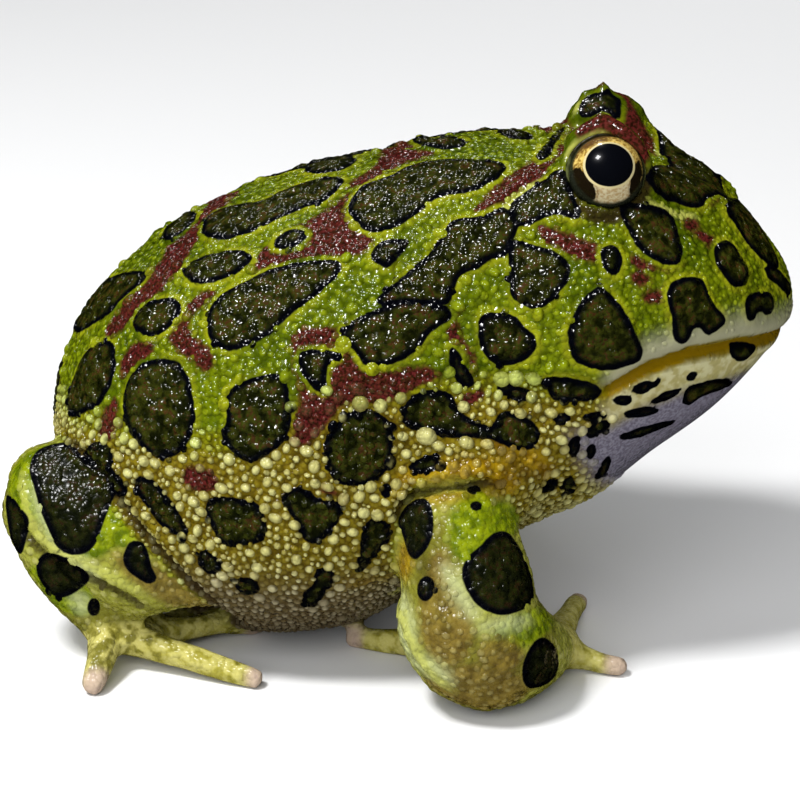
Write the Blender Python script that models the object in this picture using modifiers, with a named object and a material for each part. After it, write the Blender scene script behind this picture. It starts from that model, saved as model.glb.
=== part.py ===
"""An argentine horned frog, life size, sitting up on its forelimbs as a museum model would show it.

Worked in millimetres and turned into metres at the end. X runs to the snout, Y to the frog's left, Z up and
the floor is Z = 0.
The body is one loft with swellings added for the orbits, the jaw muscles and the shoulders; the limbs are
tapered rods laid along named joints. Everything is worked to a smooth solid and then parted by thin cuts.
"""

import math

import bmesh
import bpy
import numpy as np
from mathutils import Matrix, Vector

# Driving sizes, in millimetres.
CUT = 0.3                 # width of every parting cut
GRAIN = 1.0               # size of the grain the solids are worked at
FLAT = 0.45               # depth of the flats it stands on
EYE_RADIUS = 5.3
EYE_CENTRE = (30.3, 14.0, 72.4)
# The head leans a little to its left, which shifts each side's eye and lid along X and up.
EYE_SHIFT = {-1: (0.5, 0.0), 1: (-1.0, -0.8)}
LID_SHIFT = {-1: (0.6, 0.5), 1: (-1.0, -0.8)}

# Stations of the body: along X, top, bottom, half width, height of the widest line,
# and how square the cross-section is above and below that line (2 is an ellipse).
BODY = {
    "vent":      (-51.4, 32.0, 30.0, 0.5, 31.0, 2.0, 2.0),
    "seat":      (-50.2, 39.5, 22.0, 11.5, 30.0, 2.0, 2.0),
    "rump":      (-46.2, 47.0, 12.0, 21.5, 28.0, 2.0, 2.0),
    "hips":      (-39.5, 54.3, 5.5, 29.3, 26.5, 2.05, 2.1),
    "loins":     (-30.0, 60.8, 1.6, 34.6, 25.5, 2.1, 2.2),
    "belly":     (-17.0, 66.0, 0.0, 37.8, 25.5, 2.1, 2.3),
    "ribs":      (-3.0, 70.0, 2.5, 37.2, 28.5, 2.1, 2.3),
    "shoulders": (9.0, 72.8, 10.5, 33.5, 33.0, 2.15, 2.3),
    "nape":      (20.0, 73.4, 17.0, 30.0, 39.0, 2.25, 2.2),
    "jaw_hinge": (30.0, 72.2, 21.5, 28.6, 43.5, 2.35, 2.0),
    "cheeks":    (38.0, 70.2, 28.3, 25.8, 47.5, 2.25, 1.9),
    "muzzle":    (46.0, 66.4, 34.6, 20.8, 49.5, 2.15, 1.9),
    "nostrils":  (52.0, 61.2, 41.4, 14.6, 50.0, 2.1, 2.0),
    "snout":     (56.2, 56.1, 47.2, 7.5, 50.5, 2.0, 2.0),
    "lip_tip":   (57.6, 52.2, 49.8, 0.5, 51.0, 2.0, 2.0),
}

# The mouth line in side view, from the tip back to the corner and on under the cheek.
MOUTH = ((62.0, 45.4), (56.5, 48.2), (50.0, 50.4), (43.3, 50.6), (37.6, 49.2), (32.0, 46.2), (24.0, 41.0),
         (8.0, 33.0))
NECK_TOP = (13.0, 80.0)   # the parting between head and trunk, in side view
NECK_BOTTOM = (25.0, 12.0)

# Limbs as rods: (x, y, z, radius) at each named place. The hind limbs mirror each other;
# the right hand is set forward and the left one back, under the chest.
UPPER_ARM_RIGHT = {"shoulder": (14.5, -22.0, 35.0, 9.0), "sleeve": (12.0, -29.5, 27.5, 8.3),
                   "above_elbow": (14.4, -34.2, 17.5, 9.4)}
FOREARM_RIGHT = {"elbow": (14.5, -35.4, 13.2, 10.1), "ulna": (16.8, -35.2, 10.0, 9.7),
                 "lower": (20.6, -31.8, 7.6, 7.3), "wrist": (23.6, -27.4, 5.6, 5.2)}
HAND_RIGHT = {
    "palm": ((23.0, -27.0, 5.4, 4.8), (25.6, -22.6, 4.2, 3.8), (25.4, -19.0, 3.4, 3.0)),
    "finger_1": ((22.0, -24.0, 4.4, 3.4), (12.0, -21.4, 3.0, 2.6), (3.0, -20.4, 2.2, 2.1), (-4.2, -18.8, 1.7, 1.6)),
    "finger_2": ((23.4, -20.6, 3.6, 3.0), (16.0, -14.0, 2.8, 2.2), (11.0, -9.0, 1.7, 1.6)),
    "finger_3": ((25.4, -19.6, 3.6, 2.8), (26.6, -11.0, 3.2, 1.9), (27.2, -5.2, 2.6, 1.75), (27.6, -2.2, 1.9, 1.7)),
    "finger_4": ((25.2, -22.2, 3.6, 3.0), (29.6, -22.6, 2.6, 1.9), (33.0, -23.0, 1.9, 1.6), (35.0, -23.2, 1.8, 1.65)),
}
UPPER_ARM_LEFT = {"shoulder": (13.5, 22.0, 35.0, 9.0), "sleeve": (9.6, 29.5, 27.0, 8.4),
                  "above_elbow": (6.0, 33.5, 18.0, 8.2)}
FOREARM_LEFT = {"elbow": (4.6, 35.4, 12.8, 8.8), "ulna": (5.6, 35.4, 10.0, 9.7), "lower": (7.6, 30.4, 7.6, 7.4),
                "wrist": (8.6, 25.2, 5.6, 5.2)}
HAND_LEFT = {
    "palm": ((8.6, 26.4, 5.4, 4.8), (8.6, 22.0, 4.2, 3.8), (8.0, 18.6, 3.4, 3.0)),
    "finger_1": ((7.0, 23.6, 4.2, 3.2), (-1.0, 22.6, 3.0, 2.3), (-7.0, 22.6, 2.0, 1.9), (-10.0, 22.4, 1.7, 1.6)),
    "finger_2": ((7.4, 20.4, 3.6, 2.8), (2.4, 14.6, 2.4, 1.9), (-0.8, 11.0, 1.7, 1.55)),
    "finger_3": ((8.0, 19.2, 3.4, 2.6), (8.2, 11.4, 2.6, 1.9), (8.0, 5.6, 2.0, 1.75), (7.8, 2.6, 1.8, 1.65)),
    "finger_4": ((9.0, 21.6, 3.6, 2.8), (12.4, 17.8, 2.6, 1.9), (14.8, 14.4, 1.9, 1.65), (15.8, 12.8, 1.8, 1.6)),
}
THIGH = {"hip": (-40.0, -13.0, 23.0, 9.0), "mid_thigh": (-31.0, -19.5, 14.5, 9.6),
         "above_knee": (-24.8, -24.0, 9.8, 6.8)}
SHANK = {"knee": (-25.2, -26.6, 10.0, 6.6), "calf": (-33.6, -27.4, 15.6, 8.1), "lower": (-42.6, -26.2, 22.0, 7.9),
         "heel": (-47.4, -24.2, 25.4, 6.8)}
TARSUS = {"heel": (-49.2, -24.6, 21.8, 5.9), "instep": (-45.4, -26.4, 14.4, 5.4), "ankle": (-39.4, -27.8, 7.6, 4.5)}
FOOT = {
    "sole": ((-39.6, -27.8, 7.0, 4.2), (-37.4, -28.3, 5.4, 3.6), (-35.0, -28.0, 4.4, 3.0)),
    "toe_5": ((-38.8, -29.2, 5.6, 3.0), (-38.3, -34.2, 4.2, 2.3), (-38.4, -39.6, 1.9, 1.8)),
    "toe_4": ((-36.2, -29.2, 4.9, 2.9), (-28.6, -31.2, 3.7, 2.15), (-21.4, -33.1, 2.5, 1.85), (-16.2, -34.4, 1.8, 1.65)),
    "toe_3": ((-35.0, -26.8, 3.6, 2.8), (-29.4, -23.2, 3.4, 2.0), (-24.0, -19.6, 3.2, 1.75),
              (-19.6, -16.8, 1.8, 1.6)),
    "toe_2": ((-36.6, -25.6, 3.4, 2.6), (-32.0, -19.6, 2.4, 1.9), (-29.0, -15.0, 1.7, 1.55)),
}


def new_object(name, verts, faces):
    mesh = bpy.data.meshes.new(name)
    mesh.from_pydata([tuple(v) for v in verts], [], faces)
    mesh.update()
    obj = bpy.data.objects.new(name, mesh)
    bpy.context.scene.collection.objects.link(obj)
    return obj


def along(points, step):
    """Points spread along a smooth line through the given ones, each a row of numbers."""
    p = np.array(points, float)
    p = np.vstack([2 * p[0] - p[1], p, 2 * p[-1] - p[-2]])
    rows = []
    for i in range(1, len(p) - 2):
        length = np.linalg.norm(p[i + 1][:3] - p[i][:3])
        count = max(2, int(math.ceil(length / step)))
        for k in range(count):
            t = k / count
            rows.append(0.5 * (2 * p[i] + (p[i + 1] - p[i - 1]) * t
                               + (2 * p[i - 1] - 5 * p[i] + 4 * p[i + 1] - p[i + 2]) * t ** 2
                               + (3 * p[i] - p[i - 1] - 3 * p[i + 1] + p[i + 2]) * t ** 3))
    rows.append(p[-2])
    return rows


def add_ball(bm, centre, radii):
    made = bmesh.ops.create_icosphere(bm, subdivisions=3, radius=1.0)
    size = Vector(radii)
    for v in made["verts"]:
        v.co = Vector((v.co.x * size.x, v.co.y * size.y, v.co.z * size.z)) + Vector(centre)


def add_rod(bm, joints):
    for x, y, z, r in along(joints, 1.2):
        add_ball(bm, (x, y, z), (r, r, r))


def solid_of(bm, name):
    mesh = bpy.data.meshes.new(name)
    bm.to_mesh(mesh)
    bm.free()
    obj = bpy.data.objects.new(name, mesh)
    bpy.context.scene.collection.objects.link(obj)
    return obj


def apply(obj, kind, **settings):
    mod = obj.modifiers.new("work", kind)
    for key, value in settings.items():
        setattr(mod, key, value)
    bpy.context.view_layer.update()
    seen = bpy.context.evaluated_depsgraph_get()
    mesh = bpy.data.meshes.new_from_object(obj.evaluated_get(seen))
    obj.modifiers.clear()
    old = obj.data
    obj.data = mesh
    bpy.data.meshes.remove(old)
    return obj


def drop(obj):
    bpy.data.objects.remove(obj, do_unlink=True)


def worked(obj, grain, smoothing, triangles):
    """One skin over everything in the object, smoothed, with about the number of triangles asked for."""
    apply(obj, "REMESH", mode="VOXEL", voxel_size=grain, adaptivity=0.0)
    apply(obj, "SMOOTH", factor=0.5, iterations=smoothing)
    apply(obj, "TRIANGULATE")
    if len(obj.data.polygons) > triangles:
        apply(obj, "DECIMATE", ratio=triangles / len(obj.data.polygons))
    return obj


def cut(obj, tool, operation="DIFFERENCE"):
    apply(obj, "BOOLEAN", operation=operation, object=tool, solver="EXACT")
    drop(tool)
    return largest(obj)


def largest(obj):
    """Only the biggest piece is kept, its seams are welded and it is made of triangles."""
    bm = bmesh.new()
    bm.from_mesh(obj.data)
    bmesh.ops.remove_doubles(bm, verts=bm.verts, dist=0.004)
    bmesh.ops.triangulate(bm, faces=bm.faces)
    bm.faces.ensure_lookup_table()
    left = set(bm.faces)
    pieces = []
    while left:
        seed = left.pop()
        piece, edge = [seed], [seed]
        while edge:
            face = edge.pop()
            for e in face.edges:
                for other in e.link_faces:
                    if other in left:
                        left.discard(other)
                        piece.append(other)
                        edge.append(other)
        pieces.append(piece)
    pieces.sort(key=lambda p: -sum(f.calc_area() for f in p))
    rest = [f for p in pieces[1:] for f in p]
    if rest:
        bmesh.ops.delete(bm, geom=rest, context="FACES")
    loose = [v for v in bm.verts if not v.link_faces]
    bmesh.ops.delete(bm, geom=loose, context="VERTS")
    bm.to_mesh(obj.data)
    bm.free()
    obj.data.update()
    return obj


def grown(obj, by):
    """The same solid, larger all round."""
    return apply(copy_of(obj, "grown"), "DISPLACE", strength=by, mid_level=0.0, direction="NORMAL")


def block(name, low, high):
    """A box between two corners."""
    bm = bmesh.new()
    bmesh.ops.create_cube(bm, size=1.0)
    for v in bm.verts:
        v.co = Vector([(a + b) / 2 + c * (b - a) for a, b, c in zip(low, high, v.co)])
    return solid_of(bm, name)


def wedge(name, loop, half_width):
    """The space on one side of a parting, drawn as a loop in side view."""
    count = len(loop)
    verts = [(x, s * half_width, z) for s in (-1, 1) for x, z in loop]
    faces = [tuple(range(count)), tuple(range(2 * count - 1, count - 1, -1))]
    faces += [((i + 1) % count, i, count + i, count + (i + 1) % count) for i in range(count)]
    obj = new_object(name, verts, faces)
    bm = bmesh.new()
    bm.from_mesh(obj.data)
    bmesh.ops.recalc_face_normals(bm, faces=bm.faces)
    bm.to_mesh(obj.data)
    bm.free()
    return obj


def twin(obj, name):
    """The same solid on the other side of the body."""
    other = obj.copy()
    other.data = obj.data.copy()
    other.name = name
    bpy.context.scene.collection.objects.link(other)
    for v in other.data.vertices:
        v.co.y = -v.co.y
    other.data.flip_normals()
    return other


def copy_of(obj, name):
    other = obj.copy()
    other.data = obj.data.copy()
    other.name = name
    bpy.context.scene.collection.objects.link(other)
    return other


def cross_section(top, bottom, half_width, widest, square_above, square_below, count=64):
    rows = []
    for k in range(count):
        a = 2 * math.pi * k / count
        c, s = math.cos(a), math.sin(a)
        power = 2.0 / (square_above if s >= 0 else square_below)
        y = half_width * math.copysign(abs(c) ** power, c)
        z = widest + ((top - widest) if s >= 0 else (widest - bottom)) * math.copysign(abs(s) ** power, s)
        rows.append((y, z))
    return rows


def body_loft():
    verts, faces, count = [], [], 64
    stations = along(list(BODY.values()), 2.0)
    for x, top, bottom, half, widest, above, below in stations:
        verts += [(x, y, z) for y, z in cross_section(top, bottom, max(half, 0.4), widest, above, below)]
    for i in range(len(stations) - 1):
        for k in range(count):
            a, b = i * count + k, i * count + (k + 1) % count
            faces.append((a, b, b + count, a + count))
    faces.append(tuple(range(count - 1, -1, -1)))
    faces.append(tuple(range(len(verts) - count, len(verts))))
    return new_object("body", verts, faces)


def make_body():
    body = body_loft()
    bm = bmesh.new()
    bm.from_mesh(body.data)
    bmesh.ops.recalc_face_normals(bm, faces=bm.faces)
    ex, ey, ez = EYE_CENTRE
    for side in (-1, 1):
        add_ball(bm, (ex - 1.0, side * (ey - 2.4), ez - 4.4), (10.0, 7.4, 6.8))       # orbit
        add_ball(bm, (24.0, side * 19.0, 50.0), (13.0, 10.5, 13.0))                    # jaw muscles
        add_ball(bm, (13.0, side * 25.0, 35.0), (13.0, 9.5, 12.5))                     # shoulder
        add_ball(bm, (-36.0, side * 18.0, 27.0), (12.0, 12.0, 13.0))                   # haunch
        add_rod(bm, [(ex + 5.0, side * (ey - 4.0), ez - 3.4, 2.6), (41.0, side * 8.2, 67.6, 2.3),
                     (47.0, side * 5.8, 64.8, 2.0)])                                   # ridge to the nostril
    bm.to_mesh(body.data)
    bm.free()
    return worked(body, GRAIN, 14, 2100)


def make_lid(side):
    """The upper eyelid, a hood over the eye that rises to a small soft horn."""
    ex, ey, ez = EYE_CENTRE[0] + LID_SHIFT[side][0], EYE_CENTRE[1], EYE_CENTRE[2] + LID_SHIFT[side][1]
    rim = []
    for degrees in (-14, 14, 48, 80, 112, 148, 185):
        a = math.radians(degrees)
        rise = max(math.sin(a), 0.0)
        rim.append((ex - 0.2 + 5.4 * math.cos(a), side * (ey + 0.3 - 2.2 * rise), ez + 5.0 * math.sin(a), 1.2 + 0.3 * rise))
    bm = bmesh.new()
    add_rod(bm, rim)
    add_rod(bm, [(ex - 0.4, side * (ey - 3.2), ez + 3.4, 2.3), (ex - 0.8, side * (ey - 3.0), ez + 5.0, 1.4),
                 (ex - 1.0, side * (ey - 2.9), ez + 6.7, 0.75)])
    add_ball(bm, (ex - 0.5, side * (ey - 4.0), ez + 1.6), (6.0, 3.2, 3.6))
    return worked(solid_of(bm, "lid"), 0.5, 3, 180)


def make_limb(name, rods, triangles, grain=0.6, smoothing=4):
    bm = bmesh.new()
    for joints in rods:
        add_rod(bm, joints)
    return worked(solid_of(bm, name), grain, smoothing, triangles)


def colouring(node):
    """A plain colour for each kind of piece: green back, yellow feet, grey throat, dark eyes."""
    kind = node.rsplit("_", 1)[0] if node.endswith(("_left", "_right")) else node
    colour, roughness = {
        "eye": ((0.02, 0.018, 0.012), 0.08), "lower_jaw": ((0.33, 0.29, 0.30), 0.4),
        "hand": ((0.42, 0.38, 0.12), 0.35), "foot": ((0.42, 0.36, 0.08), 0.35),
        "eyelid": ((0.16, 0.10, 0.04), 0.35),
    }.get(kind, ((0.17, 0.24, 0.04), 0.32))
    material = bpy.data.materials.new(kind + "_" + node)
    material.use_nodes = True
    shader = material.node_tree.nodes["Principled BSDF"]
    shader.inputs["Base Color"].default_value = (*colour, 1.0)
    shader.inputs["Roughness"].default_value = roughness
    shader.inputs["Metallic"].default_value = 0.0
    return material


def main():
    for obj in list(bpy.data.objects):
        bpy.data.objects.remove(obj, do_unlink=True)

    body = make_body()
    ex, ey, ez = EYE_CENTRE

    lids, eyes, limbs = {}, {}, {}
    for word, upper, fore, hand in (("right", UPPER_ARM_RIGHT, FOREARM_RIGHT, HAND_RIGHT),
                                    ("left", UPPER_ARM_LEFT, FOREARM_LEFT, HAND_LEFT)):
        limbs["upper_arm_" + word] = make_limb("upper_arm_" + word, [list(upper.values())], 150)
        limbs["forearm_" + word] = make_limb("forearm_" + word, [list(fore.values())], 180)
        limbs["hand_" + word] = make_limb("hand_" + word, list(hand.values()), 340, 0.45, 2)
    for name, rods, count in (("thigh", [list(THIGH.values())], 150), ("shank", [list(SHANK.values())], 190),
                              ("tarsus", [list(TARSUS.values())], 130)):
        limbs[name + "_right"] = make_limb(name + "_right", rods, count)
        limbs[name + "_left"] = twin(limbs[name + "_right"], name + "_left")
    limbs["foot_right"] = make_limb("foot_right", list(FOOT.values()), 300, 0.45, 2)
    limbs["foot_left"] = twin(limbs["foot_right"], "foot_left")

    # Sockets in the body for the limbs.
    for piece in limbs.values():
        cut(body, grown(piece, CUT))

    # Each piece gives way to the one named after it, with a thin cut all round.
    whole = {name: copy_of(piece, name + "_whole") for name, piece in limbs.items()}
    for piece, harder in (("upper_arm", "forearm"), ("hand", "forearm"), ("tarsus", "shank"), ("foot", "tarsus"),
                          ("foot", "shank"), ("thigh", "shank"), ("thigh", "tarsus"), ("thigh", "foot")):
        for word in ("_right", "_left"):
            cut(limbs[piece + word], grown(whole[harder + word], CUT))
    for piece in whole.values():
        drop(piece)

    for side, word in ((-1, "right"), (1, "left")):
        bm = bmesh.new()
        bmesh.ops.create_icosphere(bm, subdivisions=3, radius=EYE_RADIUS)
        for v in bm.verts:
            v.co += Vector((ex + EYE_SHIFT[side][0], side * ey, ez + EYE_SHIFT[side][1]))
        eyes[word] = solid_of(bm, "eye_" + word)
        lids[word] = make_lid(side)
        lids[word].name = "eyelid_" + word

    # Sockets for the eyes and the lids.
    for word in ("right", "left"):
        cut(body, grown(lids[word], CUT))
        cut(body, grown(eyes[word], CUT))
        cut(lids[word], grown(eyes[word], CUT))

    # The head and the trunk, and the lower jaw below the mouth.
    (x1, z1), (x0, z0) = NECK_TOP, NECK_BOTTOM
    ahead = wedge("ahead", [(x1 + CUT / 2, z1 + 20), (x1 + CUT / 2, z1), (x0 + CUT / 2, z0), (x0 + CUT / 2, -20),
                            (120, -20), (120, z1 + 20)], 80)
    behind = wedge("behind", [(x1 - CUT / 2, z1 + 20), (x1 - CUT / 2, z1), (x0 - CUT / 2, z0), (x0 - CUT / 2, -20),
                              (-120, -20), (-120, z1 + 20)], 80)
    trunk = cut(copy_of(body, "trunk"), behind, "INTERSECT")
    head = cut(copy_of(body, "head"), ahead, "INTERSECT")
    drop(body)
    line = [(x, z, 0.0) for x, z in MOUTH]
    row = [(r[0], r[1]) for r in along(line, 2.0)]
    above = wedge("above", [(70.0, row[0][1] + CUT / 2)] + [(x, z + CUT / 2) for x, z in row]
                  + [(-20.0, row[-1][1] + CUT / 2), (-20.0, 120.0), (70.0, 120.0)], 80)
    below = wedge("below", [(70.0, row[0][1] - CUT / 2)] + [(x, z - CUT / 2) for x, z in row]
                  + [(-20.0, row[-1][1] - CUT / 2), (-20.0, -20.0), (70.0, -20.0)], 80)
    jaw = cut(copy_of(head, "lower_jaw"), below, "INTERSECT")
    cut(head, above, "INTERSECT")

    # Small flats to stand on, all at one level, and the floor brought to that level.
    pieces = [trunk, head, jaw] + list(limbs.values()) + list(lids.values()) + list(eyes.values())
    for piece in pieces:
        if not piece.name.startswith("eye_"):
            apply(piece, "DECIMATE", ratio=0.84)
            largest(piece)
        low = min(v.co.z for v in piece.data.vertices)
        if low < FLAT - 0.02:
            cut(piece, block("floor", (-200.0, -200.0, -60.0), (200.0, 200.0, FLAT)))
        piece.data.transform(Matrix.Translation((0.0, 0.0, -FLAT)))
    # The origin goes under the middle of the whole, and millimetres become metres.
    corners = np.array([v.co for piece in pieces for v in piece.data.vertices])
    middle = (corners.min(0) + corners.max(0)) / 2
    print("moved by", round(-float(middle[0]), 3), round(-float(middle[1]), 3))
    frog = bpy.data.collections.new("argentine_horned_frog")
    bpy.context.scene.collection.children.link(frog)
    for piece in pieces:
        piece.data.transform(Matrix.Translation((-middle[0], -middle[1], 0.0)))
        piece.data.transform(Matrix.Scale(0.001, 4))
        piece.data.materials.clear()
        piece.data.materials.append(colouring(piece.name))
        piece.data.shade_smooth()
        for other in list(piece.users_collection):
            other.objects.unlink(piece)
        frog.objects.link(piece)


main()
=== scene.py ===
import math
import random

import bmesh
import bpy
import numpy as np
from mathutils import Matrix, Vector
from mathutils.bvhtree import BVHTree
from mathutils.kdtree import KDTree


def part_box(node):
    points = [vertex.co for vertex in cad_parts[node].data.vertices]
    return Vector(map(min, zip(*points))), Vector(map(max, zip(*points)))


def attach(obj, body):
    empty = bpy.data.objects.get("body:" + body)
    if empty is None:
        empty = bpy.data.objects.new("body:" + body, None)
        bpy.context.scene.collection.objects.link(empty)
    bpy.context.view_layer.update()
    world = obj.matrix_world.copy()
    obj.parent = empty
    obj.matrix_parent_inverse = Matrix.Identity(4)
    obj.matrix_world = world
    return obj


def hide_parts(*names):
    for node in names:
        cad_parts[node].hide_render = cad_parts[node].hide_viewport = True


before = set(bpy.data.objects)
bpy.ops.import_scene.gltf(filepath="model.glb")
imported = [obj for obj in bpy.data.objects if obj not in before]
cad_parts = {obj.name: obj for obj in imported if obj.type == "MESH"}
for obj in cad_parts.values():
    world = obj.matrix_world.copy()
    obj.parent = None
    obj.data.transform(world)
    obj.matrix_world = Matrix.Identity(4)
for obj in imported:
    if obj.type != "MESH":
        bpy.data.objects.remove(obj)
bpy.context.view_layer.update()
MM = 0.001


# The viewpoint.
# The frog is seen from its right side, a little from the front and 20 degrees from above, and the places
# of its blotches are named further down by where they lie in this view of 800 by 800 points.
SIDE_ANGLE = math.radians(8.0)
HEIGHT_ANGLE = math.radians(20.0)
DISTANCE = 400.0
VIEW_POINTS = 800.0
VIEW_WIDTH = 120.0
POINTS_PER_MM = VIEW_POINTS / VIEW_WIDTH
SENSOR = 36.0
LOOKED_AT = np.array([-1.216, 0.015, 32.05])
LEVEL = math.cos(HEIGHT_ANGLE)
TOWARDS = np.array([math.sin(SIDE_ANGLE) * LEVEL, -math.cos(SIDE_ANGLE) * LEVEL, math.sin(HEIGHT_ANGLE)])
ACROSS = np.array([math.cos(SIDE_ANGLE), math.sin(SIDE_ANGLE), 0.0])
UPWARDS = np.cross(TOWARDS, ACROSS)
EYE_POINT = LOOKED_AT + TOWARDS * DISTANCE

camera_data = bpy.data.cameras.new("camera")
camera_data.sensor_width = SENSOR
camera_data.lens = SENSOR * DISTANCE * POINTS_PER_MM / VIEW_POINTS
camera_data.clip_start = 0.01
camera = bpy.data.objects.new("camera", camera_data)
bpy.context.scene.collection.objects.link(camera)
turn = Matrix((ACROSS, UPWARDS, TOWARDS)).transposed().to_4x4()
camera.matrix_world = Matrix.Translation(EYE_POINT * MM) @ turn
bpy.context.scene.camera = camera
bpy.context.scene.view_settings.view_transform = "Standard"


# The floor and the studio.
# A plain pale floor, a bright window overhead and a small lamp behind, which glint on the wet skin. The sky
# and two wide soft lights, in front and at the rear, only fill the shadows.
FLOOR_HALF = 4.0
corners = [(i * FLOOR_HALF, j * FLOOR_HALF, 0) for i, j in ((-1, -1), (1, -1), (1, 1), (-1, 1))]
floor_mesh = bpy.data.meshes.new("floor")
floor_mesh.from_pydata(corners, [], [(0, 1, 2, 3)])
floor = bpy.data.objects.new("floor", floor_mesh)
bpy.context.scene.collection.objects.link(floor)
floor_paint = bpy.data.materials.new("pale_floor")
floor_paint.use_nodes = True
floor_paint.node_tree.nodes["Principled BSDF"].inputs["Base Color"].default_value = (0.80, 0.80, 0.80, 1)
floor_paint.node_tree.nodes["Principled BSDF"].inputs["Roughness"].default_value = 0.8
floor_mesh.materials.append(floor_paint)
floor.visible_glossy = False

sky = bpy.data.worlds.new("studio")
sky.use_nodes = True
sky.node_tree.nodes["Background"].inputs["Color"].default_value = (0.95, 0.97, 1.0, 1)
sky.node_tree.nodes["Background"].inputs["Strength"].default_value = 0.30
sky.cycles_visibility.glossy = False
bpy.context.scene.world = sky
# Each lamp's name, place and size in metres, and power.
for name, place, size, power in (("window", (-0.27, -0.26, 0.70), 0.15, 6.6),
                                 ("behind", (-0.18, 0.40, 0.72), 0.10, 1.7),
                                 ("front", (-0.15, -0.95, 0.62), 0.80, 7.8),
                                 ("rear", (0.25, 0.95, 0.34), 0.80, 3.6)):
    lamp = bpy.data.lights.new(name, "AREA")
    lamp.shape = "SQUARE"
    lamp.size = size
    lamp.energy = power
    light = bpy.data.objects.new(name, lamp)
    bpy.context.scene.collection.objects.link(light)
    light.location = place
    light.visible_glossy = name not in ("front", "rear")
    light.visible_diffuse = name != "behind"
    light.rotation_euler = (Vector(place) - Vector((0, 0, 0.03))).to_track_quat("Z", "Y").to_euler()


# The skin.
# One skin lies over trunk, head, jaw, lids and limbs. It is soft, wet and thick, drawn tight over the back
# and loose at the limbs, and it is one piece, so the parts of the body under it are made into a single
# surface. All its sizes are in millimetres until it is finished.
SKIN_GRAIN = 0.62
SWELL = 0.35
KNEE_LIFT = 6.0

flesh = [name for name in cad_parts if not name.startswith("eye_")]


def worked(obj, kind, **settings):
    """Puts a modifier on an object and keeps what it makes."""
    step = obj.modifiers.new("work", kind)
    for key, value in settings.items():
        setattr(step, key, value)
    bpy.context.view_layer.update()
    seen = bpy.context.evaluated_depsgraph_get()
    mesh = bpy.data.meshes.new_from_object(obj.evaluated_get(seen))
    obj.modifiers.clear()
    obj.data = mesh
    return obj


def piece_of(name, mesh):
    obj = bpy.data.objects.new(name, mesh)
    bpy.context.scene.collection.objects.link(obj)
    return obj


def write_on(mesh, name, values):
    """Gives each point of a mesh a number, which its material reads by this name."""
    layer = mesh.attributes.new(name, "FLOAT", "POINT")
    layer.data.foreach_set("value", np.asarray(values, np.float32))


def outward(mesh):
    """Turns all faces of a closed mesh outwards."""
    fixer = bmesh.new()
    fixer.from_mesh(mesh)
    bmesh.ops.recalc_face_normals(fixer, faces=fixer.faces)
    fixer.to_mesh(mesh)
    fixer.free()


def smooth(low, high, value):
    """0 at low and 1 at high, with a soft step between."""
    t = np.clip((value - low) / (high - low), 0.0, 1.0)
    return t * t * (3 - 2 * t)


def tucked(name, spot):
    """The flesh at the knee is drawn up, so that the inner toes show below it."""
    if name.startswith(("thigh", "shank")):
        spot.z += KNEE_LIFT * smooth(16.0, 4.0, spot.z) * smooth(-36.0, -29.0, spot.x)
    return spot


part_verts, part_faces, part_of_face = [], [], []
for number, name in enumerate(flesh):
    start = len(part_verts)
    node_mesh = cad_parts[name].data
    part_verts += [tucked(name, v.co / MM) for v in node_mesh.vertices]
    part_faces += [tuple(start + i for i in p.vertices) for p in node_mesh.polygons]
    part_of_face += [number] * len(node_mesh.polygons)
skin_mesh = bpy.data.meshes.new("skin")
skin_mesh.from_pydata(part_verts, [], part_faces)
skin = piece_of("skin", skin_mesh)
worked(skin, "DISPLACE", strength=SWELL, mid_level=0.0, direction="NORMAL")
worked(skin, "REMESH", mode="VOXEL", voxel_size=SKIN_GRAIN)


def keep_outer(obj):
    """Takes away closed pockets, leaving only the outer surface."""
    shell = bmesh.new()
    shell.from_mesh(obj.data)
    shell.faces.ensure_lookup_table()
    mark = [0] * len(shell.faces)
    best, best_size, number = 0, 0, 0
    for face in shell.faces:
        if mark[face.index]:
            continue
        number += 1
        mark[face.index] = number
        heap, size = [face], 0
        while heap:
            here = heap.pop()
            size += 1
            for edge in here.edges:
                for other in edge.link_faces:
                    if not mark[other.index]:
                        mark[other.index] = number
                        heap.append(other)
        if size > best_size:
            best, best_size = number, size
    bmesh.ops.delete(shell, geom=[f for f in shell.faces if mark[f.index] != best], context="FACES")
    shell.to_mesh(obj.data)
    shell.free()


keep_outer(skin)

count = len(skin.data.vertices)
place = np.empty(count * 3, np.float32)
skin.data.vertices.foreach_get("co", place)
place = place.reshape(-1, 3).astype(np.float64)
ends = np.empty(len(skin.data.edges) * 2, np.int32)
skin.data.edges.foreach_get("vertices", ends)
ends = ends.reshape(-1, 2)
neighbours = np.bincount(ends.ravel(), minlength=count).astype(float)


def spread(values, rounds, share=0.5):
    """Evens out numbers or places between neighbouring points of the skin."""
    values = np.array(values, float)
    flat = values.ndim == 1
    if flat:
        values = values[:, None]
    if np.ndim(share):
        share = np.asarray(share, float)[:, None]
    for _ in range(rounds):
        total = np.stack([np.bincount(ends[:, 0], values[ends[:, 1], k], count)
                          + np.bincount(ends[:, 1], values[ends[:, 0], k], count)
                          for k in range(values.shape[1])], 1)
        values = values + share * (total / neighbours[:, None] - values)
    return values[:, 0] if flat else values


def normals():
    skin.data.vertices.foreach_set("co", place.astype(np.float32).ravel())
    skin.data.update()
    out = np.empty(count * 3, np.float32)
    skin.data.vertices.foreach_get("normal", out)
    return out.reshape(-1, 3).astype(np.float64)


# Which part of the body each point of the skin lies on.
tree = BVHTree.FromPolygons([tuple(v) for v in part_verts], part_faces)
nearest = np.array([part_of_face[tree.find_nearest(Vector(p), 20.0)[2]] for p in place])


def on(*names):
    """1 where the skin lies on one of these parts."""
    wanted = [i for i, n in enumerate(flesh) if n.startswith(names)]
    return np.isin(nearest, wanted).astype(float)


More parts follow.
